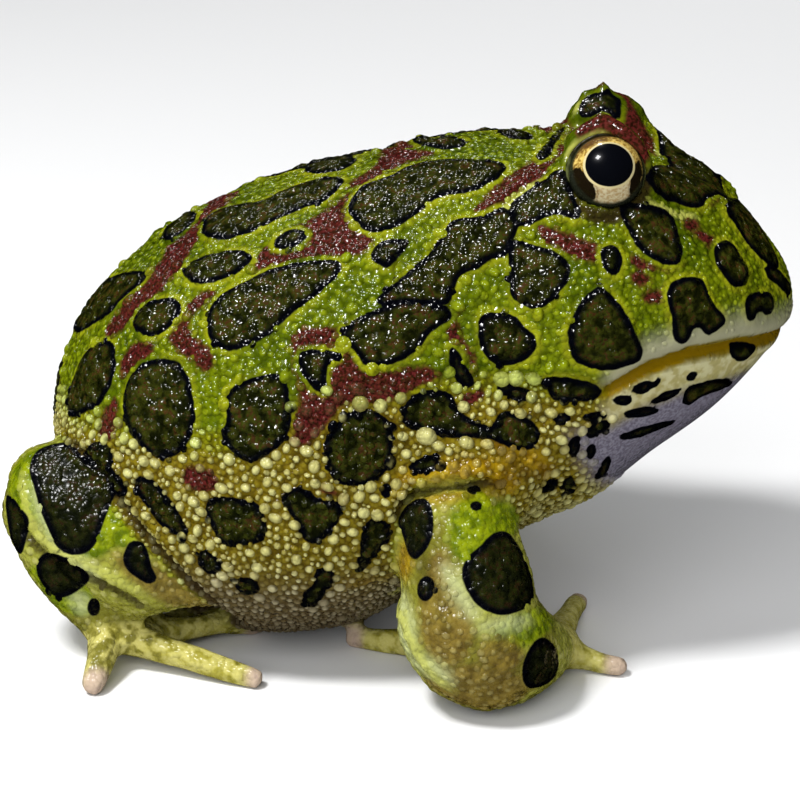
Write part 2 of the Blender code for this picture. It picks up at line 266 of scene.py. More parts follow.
# Evening out rounds the skin off, least at the toes and the lids.
digits = spread(on("hand", "foot"), 4)
lids = spread(on("eyelid"), 4)
limbs = spread(on("hand", "foot", "upper_arm", "forearm", "thigh", "shank", "tarsus"), 6)
fine = np.clip(np.maximum(digits, lids), 0, 1)
place = spread(place, 4, 0.5)
place = spread(place, 16, 0.5 * np.clip(1.0 - 1.1 * fine, 0.0, 1.0) * (1 - 0.5 * limbs))
place = place - normals() * SWELL * 0.9


surface = BVHTree.FromPolygons([tuple(p) for p in place], [tuple(p.vertices) for p in skin.data.polygons])
smooth_facing = spread(normals(), 10)
smooth_facing /= np.linalg.norm(smooth_facing, axis=1)[:, None]
FAR_SIDE = np.array([1.0, -1.0, 1.0])


def line_of_sight(u, v):
    reach = DISTANCE * POINTS_PER_MM
    ray = ACROSS * (u - VIEW_POINTS / 2) / reach - UPWARDS * (v - VIEW_POINTS / 2) / reach
    ray = ray - TOWARDS
    return ray / np.linalg.norm(ray)


def seen_at(u, v):
    """The place on the skin that is seen at a point of the view, and which way the skin faces there."""
    hit = surface.ray_cast(Vector(EYE_POINT), Vector(line_of_sight(u, v)))
    if hit[0] is None:
        return None, None
    corners = skin.data.polygons[hit[2]].vertices
    way = smooth_facing[list(corners)].mean(0)
    return np.array(hit[0]), way / np.linalg.norm(way)


def seen_near(u, v, middle_u, middle_v):
    """The place seen at a point, which is drawn in towards a middle if it lies beyond the outline."""
    middle, _ = seen_at(middle_u, middle_v)
    reach = 3.0 + 2.4 * math.hypot(u - middle_u, v - middle_v) / POINTS_PER_MM
    for step in range(16):
        share = step / 16.0
        found, _ = seen_at(u + (middle_u - u) * share, v + (middle_v - v) * share)
        if found is not None and (middle is None or np.linalg.norm(found - middle) < reach):
            return found
    return None


BODY_MIDDLE = (420, 400)


def along_line(points, far=False):
    """Distance from each point of the skin to a line drawn on it, how far it lies to the line's left, and a
    strength that fades towards the line's ends."""
    marks = [seen_near(u, v, *BODY_MIDDLE) for u, v in points]
    if far:
        marks = [mark * FAR_SIDE for mark in marks]
    total = sum(np.linalg.norm(b - a) for a, b in zip(marks, marks[1:]))
    best = np.full(count, 99.0)
    side = np.zeros(count)
    fade = np.zeros(count)
    gone = 0.0
    for a, b in zip(marks, marks[1:]):
        ab = b - a
        length = np.linalg.norm(ab)
        share = np.clip((place - a) @ ab / length ** 2, 0.0, 1.0)
        off = place - (a + share[:, None] * ab)
        far_off = np.linalg.norm(off, axis=1)
        left = np.einsum("ij,ij->i", off, np.cross(smooth_facing, ab / length))
        nearer = far_off < best
        best[nearer] = far_off[nearer]
        side[nearer] = left[nearer]
        reach = (gone + share * length) / total
        fade[nearer] = np.minimum(1.0, 5.0 * np.minimum(reach, 1.0 - reach))[nearer] + 0.15
        gone += length
    return best, side * (-1 if far else 1), fade


def fold(points, groove, width, left=0.0, right=0.0):
    """Presses a groove along a line, on both sides of the frog, and raises the skin to its left or right."""
    global place
    for far in (False, True):
        off, side, fade = along_line(points, far)
        rise = -groove * np.exp(-(off / width) ** 2)
        for lift, sign in ((left, 1), (right, -1)):
            if lift:
                bank = np.exp(-((side * sign - 1.9 * width) / (1.5 * width)) ** 2)
                rise = rise + lift * bank * (off < 8 * width)
        place = place + normals() * (rise * np.clip(fade, 0, 1))[:, None]


def ridge(points, height, width):
    fold(points, -height, width)


# The mouth: the upper lip overhangs a groove that runs back to the corner below the eye. The lip's edge is
# given by its height at places along the head.
LIP_X = (30.9, 36.5, 42.2, 48.9, 55.4, 58.0)
LIP_Z = (45.6, 48.7, 50.1, 49.9, 47.8, 46.6)
x, y, z = place.T
above_lip = z - np.interp(x, LIP_X, LIP_Z)
face_zone = smooth(29.5, 32.5, x) * spread(on("head", "lower_jaw"), 2)
shape = (0.45 * np.exp(-((above_lip - 1.5) / 1.3) ** 2) - 0.95 * np.exp(-((above_lip + 0.55) / 0.62) ** 2)
         + 0.30 * np.exp(-((above_lip + 2.6) / 1.1) ** 2))
place = place + normals() * (shape * face_zone)[:, None]

# The sleeve that the arm comes out of, the folds of the hind leg and the ridges of the head.
SLEEVE = ((397, 524), (400, 505), (412, 494), (436, 488), (462, 485), (486, 483), (503, 487))
fold(SLEEVE, 1.7, 0.8, left=1.1)
FLANK_EDGE = ((66, 440), (84, 452), (104, 474), (124, 502), (144, 530), (168, 556), (196, 584), (226, 608))
SHANK_RIDGE = ((22, 470), (23, 494), (29, 519), (41, 538), (56, 551), (78, 560), (103, 573), (120, 583),
               (145, 596))
SHANK_CREASE = ((14, 502), (20, 524), (32, 543), (50, 558), (76, 569), (100, 582), (122, 594), (150, 608))
fold(FLANK_EDGE, 1.2, 0.8, left=0.7)
ridge(SHANK_RIDGE, 0.8, 0.8)
fold(SHANK_CREASE, 1.0, 0.6)
fold(((602, 386), (585, 378), (560, 376), (535, 384), (512, 398)), 0.5, 0.5, right=0.3)
fold(((560, 402), (540, 420), (525, 445), (520, 470)), 0.5, 0.6)
ridge(((400, 590), (404, 620), (418, 655), (440, 682)), 0.5, 0.8)
ridge(((652, 158), (672, 163), (700, 176), (722, 190)), 0.55, 0.8)
ridge(((540, 214), (560, 222), (590, 214), (612, 210)), 0.5, 1.0)
LID_CREST = ((564, 148), (574, 137), (583, 130), (591, 125), (599, 121), (607, 121), (615, 125), (624, 132),
             (635, 143), (643, 155))
ridge(LID_CREST, 0.75, 1.0)
ridge(((546, 166), (520, 186), (492, 206), (468, 222)), 0.5, 1.0)
ridge(((634, 202), (655, 206), (676, 214), (690, 218)), 0.35, 0.8)
fold(((566, 190), (580, 212), (604, 220), (628, 214), (644, 196)), 0.6, 0.8)

# The nostrils are small raised pits near the tip of the snout, and a short soft horn stands on each lid.
NOSTRIL = (45.4, 5.6, 65.0)
for side in (-1, 1):
    middle = np.array(surface.find_nearest(Vector((NOSTRIL[0], side * NOSTRIL[1], NOSTRIL[2])))[0])
    far_off = np.linalg.norm(place - middle, axis=1)
    rise = 0.45 * np.exp(-((far_off - 1.4) / 0.8) ** 2) - 1.0 * np.exp(-(far_off / 0.7) ** 2)
    place = place + normals() * rise[:, None]
    tip = place[np.argmax(on("eyelid") * (place[:, 1] * side > 0) * place[:, 2])]
    far_off = np.linalg.norm(place - tip, axis=1)
    place = place + np.array([0.0, side * 0.25, 0.95]) * (0.35 * np.exp(-(far_off / 1.0) ** 1.5))[:, None]

# Soft warts stand on the back and break its outline.
WARTS = (
    (247, 188), (338, 168), (404, 153), (429, 149), (445, 146), (513, 137), (496, 141), (172, 236),
    (122, 284), (100, 310), (284, 179), (203, 214), (76, 352), (560, 128), (262, 182), (372, 160),
)
MORE_WARTS = 90
chance = random.Random(7)
roots = [seen_near(u, v, *BODY_MIDDLE) for u, v in WARTS]
top = np.nonzero((place[:, 2] > 46.0) & (place[:, 0] < 20.0))[0]
roots += [place[top[chance.randrange(len(top))]] for _ in range(MORE_WARTS)]
warts = np.zeros(count)
for root in roots:
    wide = chance.uniform(0.75, 1.25)
    tall = chance.uniform(0.35, 0.85)
    warts = np.maximum(warts, tall * np.exp(-(np.linalg.norm(place - root, axis=1) / wide) ** 2))
place = place + normals() * warts[:, None]

surface = BVHTree.FromPolygons([tuple(p) for p in place], [tuple(p.vertices) for p in skin.data.polygons])
smooth_facing = spread(normals(), 8)
smooth_facing /= np.linalg.norm(smooth_facing, axis=1)[:, None]


def near_patch(middle, way, reach):
    """The points of the skin that lie near a patch and face as it does."""
    away = place - middle
    close = np.einsum("ij,ij->i", away, away) < (reach + 5.0) ** 2
    return np.nonzero(close & (smooth_facing @ way > 0.0))[0]


def rounded(corners):
    """Cuts the corners of an outline twice, which makes it a smooth curve."""
    points = [Vector(corner) for corner in corners]
    for _ in range(2):
        pairs = list(zip(points, points[1:] + points[:1]))
        points = [a.lerp(b, share) for a, b in pairs for share in (0.25, 0.75)]
    return points


OVAL_CORNERS = 9
OVAL_GROW = 1.06


def oval(u, v, long, short, tilt):
    """Corners of an oval on the skin, which is seen with these half sizes and this tilt."""
    corners = []
    b = math.radians(tilt)
    for step in range(OVAL_CORNERS):
        a = 2 * math.pi * step / OVAL_CORNERS
        s = OVAL_GROW * long * math.cos(a)
        t = OVAL_GROW * short * math.sin(a)
        corners.append((u + s * math.cos(b) - t * math.sin(b), v - s * math.sin(b) - t * math.cos(b)))
    return outline(corners)


def outline(corners):
    """Middle, facing and corners, on the skin, of a patch drawn by its corners in the view."""
    middle_u = sum(c[0] for c in corners) / len(corners)
    middle_v = sum(c[1] for c in corners) / len(corners)
    middle, way = seen_at(middle_u, middle_v)
    found = [seen_near(u, v, middle_u, middle_v) for u, v in rounded(corners)]
    if middle is None or any(spot is None for spot in found):
        return None
    return middle, way, np.array(found)


FAR_AWAY = 9.0


def edge_distance(patch, round_by=0.0):
    """Distance from each point of the skin to the edge of a patch, negative inside."""
    middle, way, corners = patch
    first = np.cross(way, (0.0, 0.0, 1.0)) if abs(way[2]) < 0.9 else np.cross(way, (1.0, 0.0, 0.0))
    first /= np.linalg.norm(first)
    second = np.cross(way, first)
    flat = np.stack([(corners - middle) @ first, (corners - middle) @ second], 1)
    near = near_patch(middle, way, np.abs(flat).max())
    out = np.full(count, FAR_AWAY)
    p = np.stack([(place[near] - middle) @ first, (place[near] - middle) @ second], 1)
    best = np.full(len(near), 99.0)
    inside = np.zeros(len(near), bool)
    for a, b in zip(flat, np.roll(flat, -1, axis=0)):
        ab = b - a
        share = np.clip(((p - a) @ ab) / max(ab @ ab, 1e-9), 0.0, 1.0)
        best = np.minimum(best, np.linalg.norm(p - (a + share[:, None] * ab), axis=1))
        crosses = (a[1] > p[:, 1]) != (b[1] > p[:, 1])
        with np.errstate(divide="ignore", invalid="ignore"):
            cut = a[0] + (p[:, 1] - a[1]) / ab[1] * ab[0]
        inside ^= crosses & (p[:, 0] < cut)
    out[near] = np.where(inside, -best, best) - round_by
    return out


def other_side(patch, slide, grow, twist):
    """The like patch of the left side, moved, turned and grown a little so that the sides differ."""
    middle, way, corners = patch
    there = surface.find_nearest(Vector(middle * FAR_SIDE + slide))
    face = skin.data.polygons[there[2]].vertices
    facing_there = smooth_facing[list(face)].mean(0)
    facing_there /= np.linalg.norm(facing_there)
    spin = np.array(Matrix.Rotation(twist, 3, Vector(facing_there)))
    away = (corners - middle) * FAR_SIDE * grow
    return np.array(there[0]), facing_there, np.array(there[0]) + away @ spin.T


# The dark blotches, from the back to the toes. The larger ones are drawn by their corners.
DRAWN = (
    # back
    ((347, 209), (356, 192), (368, 184), (389, 178), (406, 168), (430, 162), (456, 160), (495, 162),
     (508, 168), (495, 183), (474, 193), (448, 196), (433, 202), (415, 215), (389, 232), (368, 233),
     (356, 222)),
    ((203, 224), (212, 213), (237, 205), (262, 203), (281, 192), (306, 183), (331, 177), (347, 180),
     (337, 192), (325, 202), (300, 210), (275, 221), (253, 233), (234, 239), (219, 241), (203, 237)),
    ((180, 271), (191, 264), (209, 255), (234, 250), (250, 253), (253, 261), (237, 274), (225, 278),
     (206, 285), (191, 283)),
    ((209, 311), (225, 292), (244, 283), (269, 272), (294, 264), (322, 261), (341, 261), (344, 271),
     (322, 292), (306, 305), (287, 317), (275, 330), (256, 344), (237, 350), (223, 350), (208, 334)),
    ((133, 321), (144, 305), (159, 299), (181, 300), (184, 311), (166, 333), (150, 338), (137, 333)),
    ((72, 332), (81, 314), (94, 292), (112, 277), (137, 271), (150, 274), (137, 289), (122, 300),
     (112, 314), (97, 324), (81, 333)),
    ((370, 256), (380, 244), (389, 240), (412, 239), (409, 248), (398, 259), (386, 268), (378, 263)),
    # shoulder, up to the eye
    ((342, 333), (356, 318), (389, 306), (404, 300), (427, 303), (450, 306), (452, 318), (442, 324),
     (430, 333), (415, 350), (404, 359), (392, 365), (374, 368), (362, 362), (356, 348), (345, 342)),
    ((375, 303), (386, 292), (401, 280), (415, 265), (430, 256), (439, 242), (448, 227), (456, 220),
     (483, 218), (505, 206), (520, 225), (512, 240), (507, 256), (495, 259), (477, 268), (459, 274),
     (455, 290), (450, 308), (427, 305), (404, 302), (389, 306)),
    ((510, 238), (540, 247), (562, 254), (571, 268), (562, 289), (548, 306), (533, 311), (518, 303),
     (509, 295), (512, 277), (510, 262)),
    ((509, 205), (530, 190), (545, 182), (556, 170), (566, 170), (572, 195), (581, 212), (577, 219),
     (559, 215), (542, 218), (530, 226), (515, 228)),
    ((535, 158), (545, 146), (556, 131), (566, 126), (560, 140), (549, 156), (541, 163)),
    ((477, 318), (489, 313), (509, 314), (518, 318), (524, 327), (536, 336), (537, 348), (527, 359),
     (512, 365), (498, 368), (489, 359), (480, 348)),
    ((450, 345), (458, 350), (471, 375), (475, 385), (462, 387), (452, 375), (448, 360)),
    ((303, 350), (322, 350), (341, 354), (333, 361), (325, 367), (327, 394), (315, 390), (303, 375),
     (298, 362)),
    # side of the head
    ((600, 285), (610, 292), (622, 312), (634, 330), (643, 348), (640, 360), (620, 367), (597, 369),
     (577, 364), (567, 350), (568, 330), (575, 312), (586, 295)),
    ((673, 280), (690, 277), (704, 282), (708, 300), (725, 317), (724, 326), (713, 332), (706, 336),
     (699, 326), (691, 327), (687, 342), (676, 344), (673, 328), (672, 313), (664, 298)),
    ((618, 209), (628, 204), (643, 205), (668, 212), (675, 223), (679, 240), (681, 257), (676, 266),
     (657, 262), (645, 254), (635, 245), (628, 233)),
    ((713, 250), (718, 243), (727, 242), (735, 247), (740, 260), (747, 267), (748, 280), (740, 289),
     (731, 287), (722, 272), (715, 262)),
    ((744, 298), (753, 293), (768, 293), (773, 300), (772, 311), (765, 315), (758, 309), (753, 321),
     (746, 320)),
    ((648, 167), (667, 166), (687, 169), (707, 180), (722, 188), (724, 194), (713, 196), (703, 203),
     (700, 208), (687, 208), (675, 205), (660, 197), (650, 187)),
    ((725, 202), (732, 197), (747, 208), (757, 223), (767, 240), (777, 260), (778, 270), (770, 267),
     (757, 257), (745, 243), (735, 228), (727, 213)),
    ((763, 266), (776, 268), (786, 280), (791, 290), (786, 296), (776, 284), (766, 277)),
    ((602, 249), (612, 246), (620, 252), (621, 267), (615, 277), (608, 273), (602, 265)),
    ((577, 116), (582, 101), (592, 96), (602, 92), (608, 88), (613, 97), (622, 100), (620, 110), (618, 120),
     (609, 118), (600, 112), (590, 118)),
    ((546, 376), (570, 378), (582, 380), (595, 384), (602, 392), (593, 401), (569, 401), (553, 400),
     (548, 389)),
    # flank
    ((123, 395), (131, 377), (144, 364), (166, 358), (181, 364), (191, 380), (195, 405), (194, 430),
     (185, 450), (170, 460), (150, 455), (135, 440), (125, 420)),
    ((69, 395), (75, 377), (84, 355), (100, 341), (116, 346), (117, 367), (112, 389), (100, 405), (84, 414),
     (72, 416), (66, 405)),
    ((225, 396), (237, 383), (253, 378), (269, 375), (284, 377), (289, 389), (291, 411), (289, 430),
     (280, 445), (262, 458), (245, 462), (230, 450), (220, 435), (230, 418)),
    ((325, 441), (342, 415), (365, 407), (388, 416), (394, 441), (392, 465), (377, 480), (350, 488),
     (333, 480), (325, 457)),
    ((400, 413), (411, 395), (431, 388), (454, 395), (458, 411), (480, 425), (492, 428), (500, 411),
     (515, 411), (538, 426), (542, 438), (531, 449), (515, 449), (500, 441), (473, 436), (446, 436),
     (415, 430), (402, 422)),
    ((406, 468), (415, 459), (433, 455), (444, 461), (435, 470), (415, 474)),
    ((84, 451), (93, 442), (108, 445), (114, 458), (108, 466), (119, 476), (128, 491), (124, 498),
     (111, 485), (96, 477), (85, 465)),
    ((133, 482), (143, 476), (158, 486), (172, 504), (183, 520), (189, 535), (180, 536), (163, 526),
     (149, 508), (140, 497)),
    ((207, 502), (213, 496), (236, 499), (256, 501), (264, 516), (268, 531), (261, 544), (243, 545),
     (229, 548), (217, 541), (211, 525), (206, 514)),
    ((282, 497), (292, 485), (306, 489), (320, 501), (338, 500), (342, 512), (334, 531), (316, 545),
     (304, 540), (296, 520), (284, 506)),
    ((364, 527), (372, 517), (386, 521), (391, 532), (386, 546), (373, 557), (363, 572), (353, 573),
     (359, 557), (361, 545)),
    ((316, 572), (328, 566), (336, 575), (331, 587), (323, 589), (323, 599), (312, 607), (302, 604),
     (304, 591), (314, 585)),
    # arm
    ((491, 534), (505, 530), (517, 544), (527, 564), (534, 588), (532, 604), (516, 612), (500, 616),
     (479, 607), (466, 588), (462, 570), (469, 556), (480, 548)),
    ((414, 501), (426, 498), (434, 515), (432, 536), (426, 551), (415, 561), (408, 553), (404, 535),
     (398, 524), (402, 511)),
    ((528, 650), (539, 637), (551, 641), (559, 657), (556, 677), (541, 687), (526, 688), (521, 670)),
    # hind leg
    ((30, 464), (36, 451), (50, 445), (66, 443), (77, 449), (84, 460), (97, 468), (109, 480), (116, 492),
     (109, 506), (103, 520), (99, 538), (89, 552), (71, 555), (56, 546), (49, 527), (42, 512), (36, 491),
     (31, 476)),
    ((37, 561), (46, 552), (62, 556), (76, 565), (90, 575), (87, 583), (69, 596), (56, 598), (43, 585),
     (37, 573)),
    ((5, 494), (14, 498), (22, 511), (30, 519), (26, 538), (22, 555), (14, 550), (8, 523)),
    ((123, 559), (129, 541), (144, 542), (149, 555), (150, 569), (157, 579), (148, 584), (138, 577),
     (127, 570)),
    # throat
    ((731, 343), (760, 343), (747, 360), (737, 362), (729, 352)),
    ((682, 400), (685, 389), (700, 383), (719, 379), (732, 379), (732, 385), (716, 391), (703, 395),
     (693, 403), (686, 406)),
    ((649, 403), (656, 397), (666, 391), (682, 387), (679, 393), (669, 399), (658, 403)),
    ((631, 388), (641, 382), (648, 380), (653, 383), (661, 375), (661, 384), (650, 388), (645, 393),
     (635, 392)),
    ((624, 413), (635, 409), (648, 406), (660, 409), (656, 414), (640, 417), (627, 417)),
    ((619, 434), (632, 431), (650, 424), (674, 419), (675, 423), (656, 430), (635, 438), (620, 439)),
    ((586, 435), (590, 426), (600, 421), (612, 421), (608, 429), (598, 434), (590, 438)),
    ((597, 471), (604, 458), (611, 453), (610, 466), (603, 478), (595, 479)),
    ((570, 441), (579, 436), (579, 445), (575, 460), (570, 453)),
    ((551, 420), (558, 414), (570, 414), (569, 422), (558, 425)),
)
OVALS = (
    (440, 143, 26, 7, -4), (515, 135, 17, 5, -10), (330, 166, 26, 7, 12), (180, 226, 20, 8, 40),
    (135, 250, 14, 8, 50), (250, 184, 10, 5, 10), (290, 240, 17, 8, 20), (386, 491, 5, 8, 0),
    (209, 562, 13, 9, -45), (247, 587, 13, 8, -15), (520, 394, 12, 7, -10), (506, 388, 8, 6, -10),
    (692, 376, 6, 4, 40), (595, 416, 12, 3, 8), (550, 485, 8, 5, 30), (568, 486, 6, 9, -20),
    (622, 400, 9, 4, 0), (591, 452, 3, 6, 0), (94, 607, 6, 9, 0), (426, 589, 12, 8, 80),
    (474, 490, 6, 4, 0), (476, 506, 5, 4, 0),
)

# Maroon fills the middle of the wider gaps on the back and runs in bands over the lids and the cheek.
MAROON = (
    ((105, 330), (130, 300), (150, 275), (175, 245), (200, 215), (215, 200), (240, 186), (225, 200),
     (208, 215), (195, 240), (180, 262), (160, 290), (135, 312), (112, 336)),
    ((255, 262), (270, 245), (300, 228), (330, 212), (345, 196), (352, 190), (345, 210), (352, 232),
     (372, 236), (366, 250), (345, 256), (310, 254), (280, 264), (262, 270)),
    ((345, 190), (352, 182), (372, 172), (385, 155), (400, 152), (440, 150), (420, 158), (395, 164),
     (375, 178)),
    ((190, 300), (215, 290), (208, 300), (190, 312), (178, 330), (195, 340), (212, 358), (207, 372),
     (195, 358), (176, 340), (172, 326)),
    ((120, 365), (130, 348), (145, 342), (150, 350), (135, 360), (124, 378)),
    ((295, 335), (330, 330), (340, 342), (360, 352), (368, 372), (400, 372), (430, 368), (438, 378),
     (415, 388), (390, 400), (370, 404), (345, 398), (322, 425), (300, 445), (292, 425), (305, 400),
     (297, 372)),
    ((452, 318), (458, 340), (466, 352), (455, 345), (448, 330), (448, 290), (453, 280)),
    ((561, 143), (551, 159), (536, 174), (518, 177), (505, 190), (488, 210), (474, 213), (490, 194),
     (505, 178), (520, 172), (540, 155), (552, 144)),
    ((540, 225), (560, 236), (580, 244), (602, 250), (602, 262), (587, 261), (577, 257), (560, 251),
     (542, 240)),
    ((650, 170), (664, 170), (668, 185), (662, 197), (652, 187)),
    ((100, 430), (112, 400), (118, 402), (112, 430), (106, 445)),
    ((240, 420), (255, 405), (270, 410), (262, 432), (246, 438)),
    ((520, 335), (535, 338), (534, 345), (520, 345)),
)
FLECKS = (
    (648, 262, 14, 5, -10), (672, 262, 9, 5, 30), (641, 279, 8, 4, -10), (668, 294, 13, 5, 25),
    (655, 297, 8, 4, 0), (712, 244, 8, 4, -60), (703, 236, 7, 3, -30), (692, 225, 5, 4, 0),
    (708, 196, 8, 8, 0), (655, 148, 10, 3, -20), (690, 162, 18, 3, -22), (600, 335, 9, 22, 0),
    (545, 262, 7, 22, -10), (527, 262, 5, 18, 0), (468, 362, 6, 8, 0), (470, 395, 10, 6, 20),
    (200, 480, 16, 8, -20), (330, 500, 10, 6, 0), (150, 395, 16, 8, 0), (500, 228, 30, 7, 12),
    (360, 440, 12, 10, 0), (425, 408, 12, 9, 0),
)
# Orange-yellow in the sleeve of the arm and above it, green and pale bands down the limbs.
ORANGE = (
    (455, 470, 62, 14, 8), (500, 480, 26, 18, 20), (520, 455, 40, 18, -30), (440, 500, 40, 8, 10),
    (405, 560, 10, 22, 0),
)
# The limbs' own umber, except the third oval, at the bottom of the forearm next to the floor, which is
# painted shade.
OCHRE_AND_SHADE = (
    (446, 624, 28, 46, 10), (440, 580, 14, 30, 0), (470, 688, 62, 26, 4), (170, 588, 66, 17, -30),
    (500, 655, 24, 20, 0),
)
LEAFY = (
    (474, 528, 28, 38, -10), (522, 630, 38, 18, 28), (70, 500, 66, 42, -58), (100, 470, 30, 16, -30),
    (120, 520, 26, 30, -30), (20, 480, 16, 40, 20), (60, 590, 40, 20, -30), (500, 520, 20, 20, 0),
)
PALE = (
    (406, 628, 9, 36, 8), (430, 668, 26, 9, -32), (460, 592, 32, 9, -58), (505, 624, 26, 7, 8),
    (45, 515, 8, 34, 20), (75, 560, 28, 7, -38), (80, 602, 8, 12, 30),
)
# Painted shade: two small ovals of dark colour on the arm and in the sleeve, where shade falls.
SHADE_OVALS = ((425, 566, 8, 14, 20), (520, 466, 30, 4, -40))

# More dark blotches lie on the rump: middle across and up, and half sizes, in millimetres.
RUMP = ((-3, 46, 4.6, 4.0), (8, 38, 3.8, 4.6), (-9, 35, 3.4, 4.2), (0, 31, 3.4, 2.8), (13, 28, 2.4, 3.4),
        (-6, 24, 2.6, 2.0), (6, 22, 2.4, 2.2))
BEHIND = -90.0


def rump_patch(across, up, wide, tall):
    """Middle, facing and corners of an oval on the rump, found from behind the frog."""
    turns = [2 * math.pi * step / OVAL_CORNERS for step in range(OVAL_CORNERS)]
    spots = [(across, up)] + [(across + wide * math.cos(a), up + tall * math.sin(a)) for a in turns]
    found = [surface.ray_cast(Vector((BEHIND, *spot)), Vector((1, 0, 0))) for spot in spots]
    way = smooth_facing[list(skin.data.polygons[found[0][2]].vertices)].mean(0)
    return np.array(found[0][0]), way / np.linalg.norm(way), np.array([hit[0] for hit in found[1:]])


dark = np.full(count, FAR_AWAY)
for numbers in RUMP:
    dark = np.minimum(dark, edge_distance(rump_patch(*numbers), 0.3))
patches = [outline(corners) for corners in DRAWN] + [oval(*numbers) for numbers in OVALS]
patches = [patch for patch in patches if patch is not None]
# Each patch has a mate on the left side, which lies elsewhere a little: less so on the head, and further
# back low on the chest. A patch at the middle of the back has none.
for patch in patches:
    dark = np.minimum(dark, edge_distance(patch, 0.12))
    middle = patch[0]
    slide = np.array([chance.uniform(-2.5, 2.5), 0.0, chance.uniform(-2.0, 2.0)])
    if middle[0] > 20.0 and middle[2] > 45.0:
        slide *= 0.4
    elif 0.0 < middle[0] < 26.0 and middle[2] < 36.0:
        slide[0] -= 9.0
    grow = chance.uniform(0.86, 1.12)
    twist = math.radians(chance.uniform(-16, 16))
    if middle[1] <= -7.0:
        dark = np.minimum(dark, edge_distance(other_side(patch, slide, grow, twist), 0.12))


def union(patches):
    """Distance to the nearest of several patches, and of their likes on the left side."""
    out = np.full(count, FAR_AWAY)
    for patch in patches:
        if patch is None:
            continue
        out = np.minimum(out, edge_distance(patch))
        if patch[0][1] < -4.0:
            out = np.minimum(out, edge_distance(other_side(patch, np.zeros(3), 1.0, 0.0)))
    return out


def ovals(table):
    return union([oval(*numbers) for numbers in table])


# Narrow maroon bands run along the crests of the lids, with these half widths.
maroon = union([outline(corners) for corners in MAROON] + [oval(*numbers) for numbers in FLECKS])
CRESTS = ((0.8, LID_CREST[2:]),
          (1.25, ((607, 91), (617, 95), (627, 105), (633, 117), (640, 129), (646, 142))),
          (1.0, ((562, 146), (548, 164), (528, 178), (505, 192), (484, 208))))
for half_width, crest in CRESTS:
    for far in (False, True):
        off, _, _ = along_line(crest, far)
        maroon = np.minimum(maroon, off - half_width)
orange = smooth(1.6, -2.4, ovals(ORANGE))
leafy = smooth(1.2, -1.6, ovals(LEAFY))
ochre = smooth(1.8, -2.0, ovals(OCHRE_AND_SHADE))
pale = smooth(1.5, -1.8, ovals(PALE))

# The colour zones: flank, belly, jaw, throat, lips, feet and the tips of fingers and toes. Calm skin, as at
# the lips, has weaker wrinkles.
x, y, z = place.T
flank_line = np.interp(x, (-50, -32, -17, -8, 16, 31), (36, 37.5, 38, 45, 46.5, 45.5))
flank = smooth(5.0, -5.0, z - flank_line) * (1 - limbs)
belly = smooth(25.0, 5.0, z) * (1 - limbs)
jaw = spread(on("lower_jaw"), 5)
lip_drop = np.where(x > 31.0, above_lip, z - 45.6)
throat = smooth(25.5, 30.0, x + 0.35 * (z - 35)) * smooth(-5.0, -8.0, lip_drop) * (1 - limbs)
lower_lip = face_zone * smooth(-8.5, -4.0, above_lip) * smooth(-1.5, -2.3, above_lip)
upper_lip = face_zone * smooth(-0.3, 0.2, above_lip) * smooth(5.2, 0.8, above_lip)
mouth = face_zone * smooth(-2.3, -1.6, above_lip) * smooth(0.15, -0.3, above_lip)
back = (1 - flank) * (1 - limbs) * (1 - throat) * (1 - jaw)
foot = spread(on("foot", "hand"), 3)
on_lid = np.clip(spread(on("eyelid"), 6) * 1.6, 0, 1)
calm = np.maximum(np.maximum(upper_lip, lower_lip), np.maximum(throat, mouth)) + 0.35 * limbs
calm = np.maximum(np.clip(calm, 0.0, 0.85), 0.6 * on_lid)
TOE_TIPS = ((-39.2, 39.6), (-16.4, 34.4), (-20.8, 16.8), (-30.2, 15.0))
FINGER_TIPS = ((-5.4, -18.8), (9.8, -9.0), (26.4, -2.2), (33.8, -23.2), (-11.2, 22.4), (-2.0, 11.0),
               (6.6, 2.6), (14.6, 12.8))
TIP_HEIGHT = 1.4
tips = np.zeros(count)
for tip in TOE_TIPS + tuple((ahead, -across) for ahead, across in TOE_TIPS) + FINGER_TIPS:
    far_off = np.linalg.norm(place - np.array([*tip, TIP_HEIGHT]), axis=1)
    tips = np.maximum(tips, smooth(3.1, 1.5, far_off))


def streak(lines, width, both=True):
    """1 on the lines, of one or both sides, and 0 a width away from them."""
    out = np.zeros(count)
    for points in lines:
        for far in ((False, True) if both else (False,)):
            off, _, fade = along_line(points, far)
            out = np.maximum(out, smooth(width, 0.35 * width, off) * np.clip(fade * 2, 0, 1))
    return out


LIGHT_LINES = (((555, 147), (566, 136), (577, 127)),
               ((566, 160), (572, 149), (582, 140), (594, 134), (606, 132)),
               ((640, 147), (660, 153), (690, 167), (714, 183)),
               ((628, 199), (650, 204), (672, 213), (696, 217)),
               ((540, 180), (520, 196), (502, 214)))
ARM_EDGE = ((398, 592), (402, 620), (414, 652), (432, 676), (452, 690))
AROUND_EYE = ((562, 178), (567, 196), (578, 209), (594, 216), (612, 217), (628, 210), (640, 197),
              (647, 180), (648, 164))
light = streak(LIGHT_LINES, 0.8)
light = np.maximum(light, 0.9 * streak((ARM_EDGE,), 1.5, False))
light = np.maximum(light, 0.8 * streak((SHANK_RIDGE,), 0.9))
# Painted shade: dark colour along the folds of the sleeve, the shank and the flank's edge over the thigh, in
# a ring round the lower eye, and in the shade ovals.
painted_shade = 0.9 * np.maximum(streak((SLEEVE, SHANK_CREASE), 1.0), streak((FLANK_EDGE,), 1.4))
painted_shade = np.maximum(painted_shade, streak((AROUND_EYE,), 1.8))
painted_shade = np.maximum(painted_shade, 0.7 * smooth(2.0, -2.5, ovals(SHADE_OVALS)))

# Blotches stand up like cushions on the back.
raised = smooth(1.4, -1.6, dark) * (0.10 + 0.34 * back)
place = place + normals() * raised[:, None]
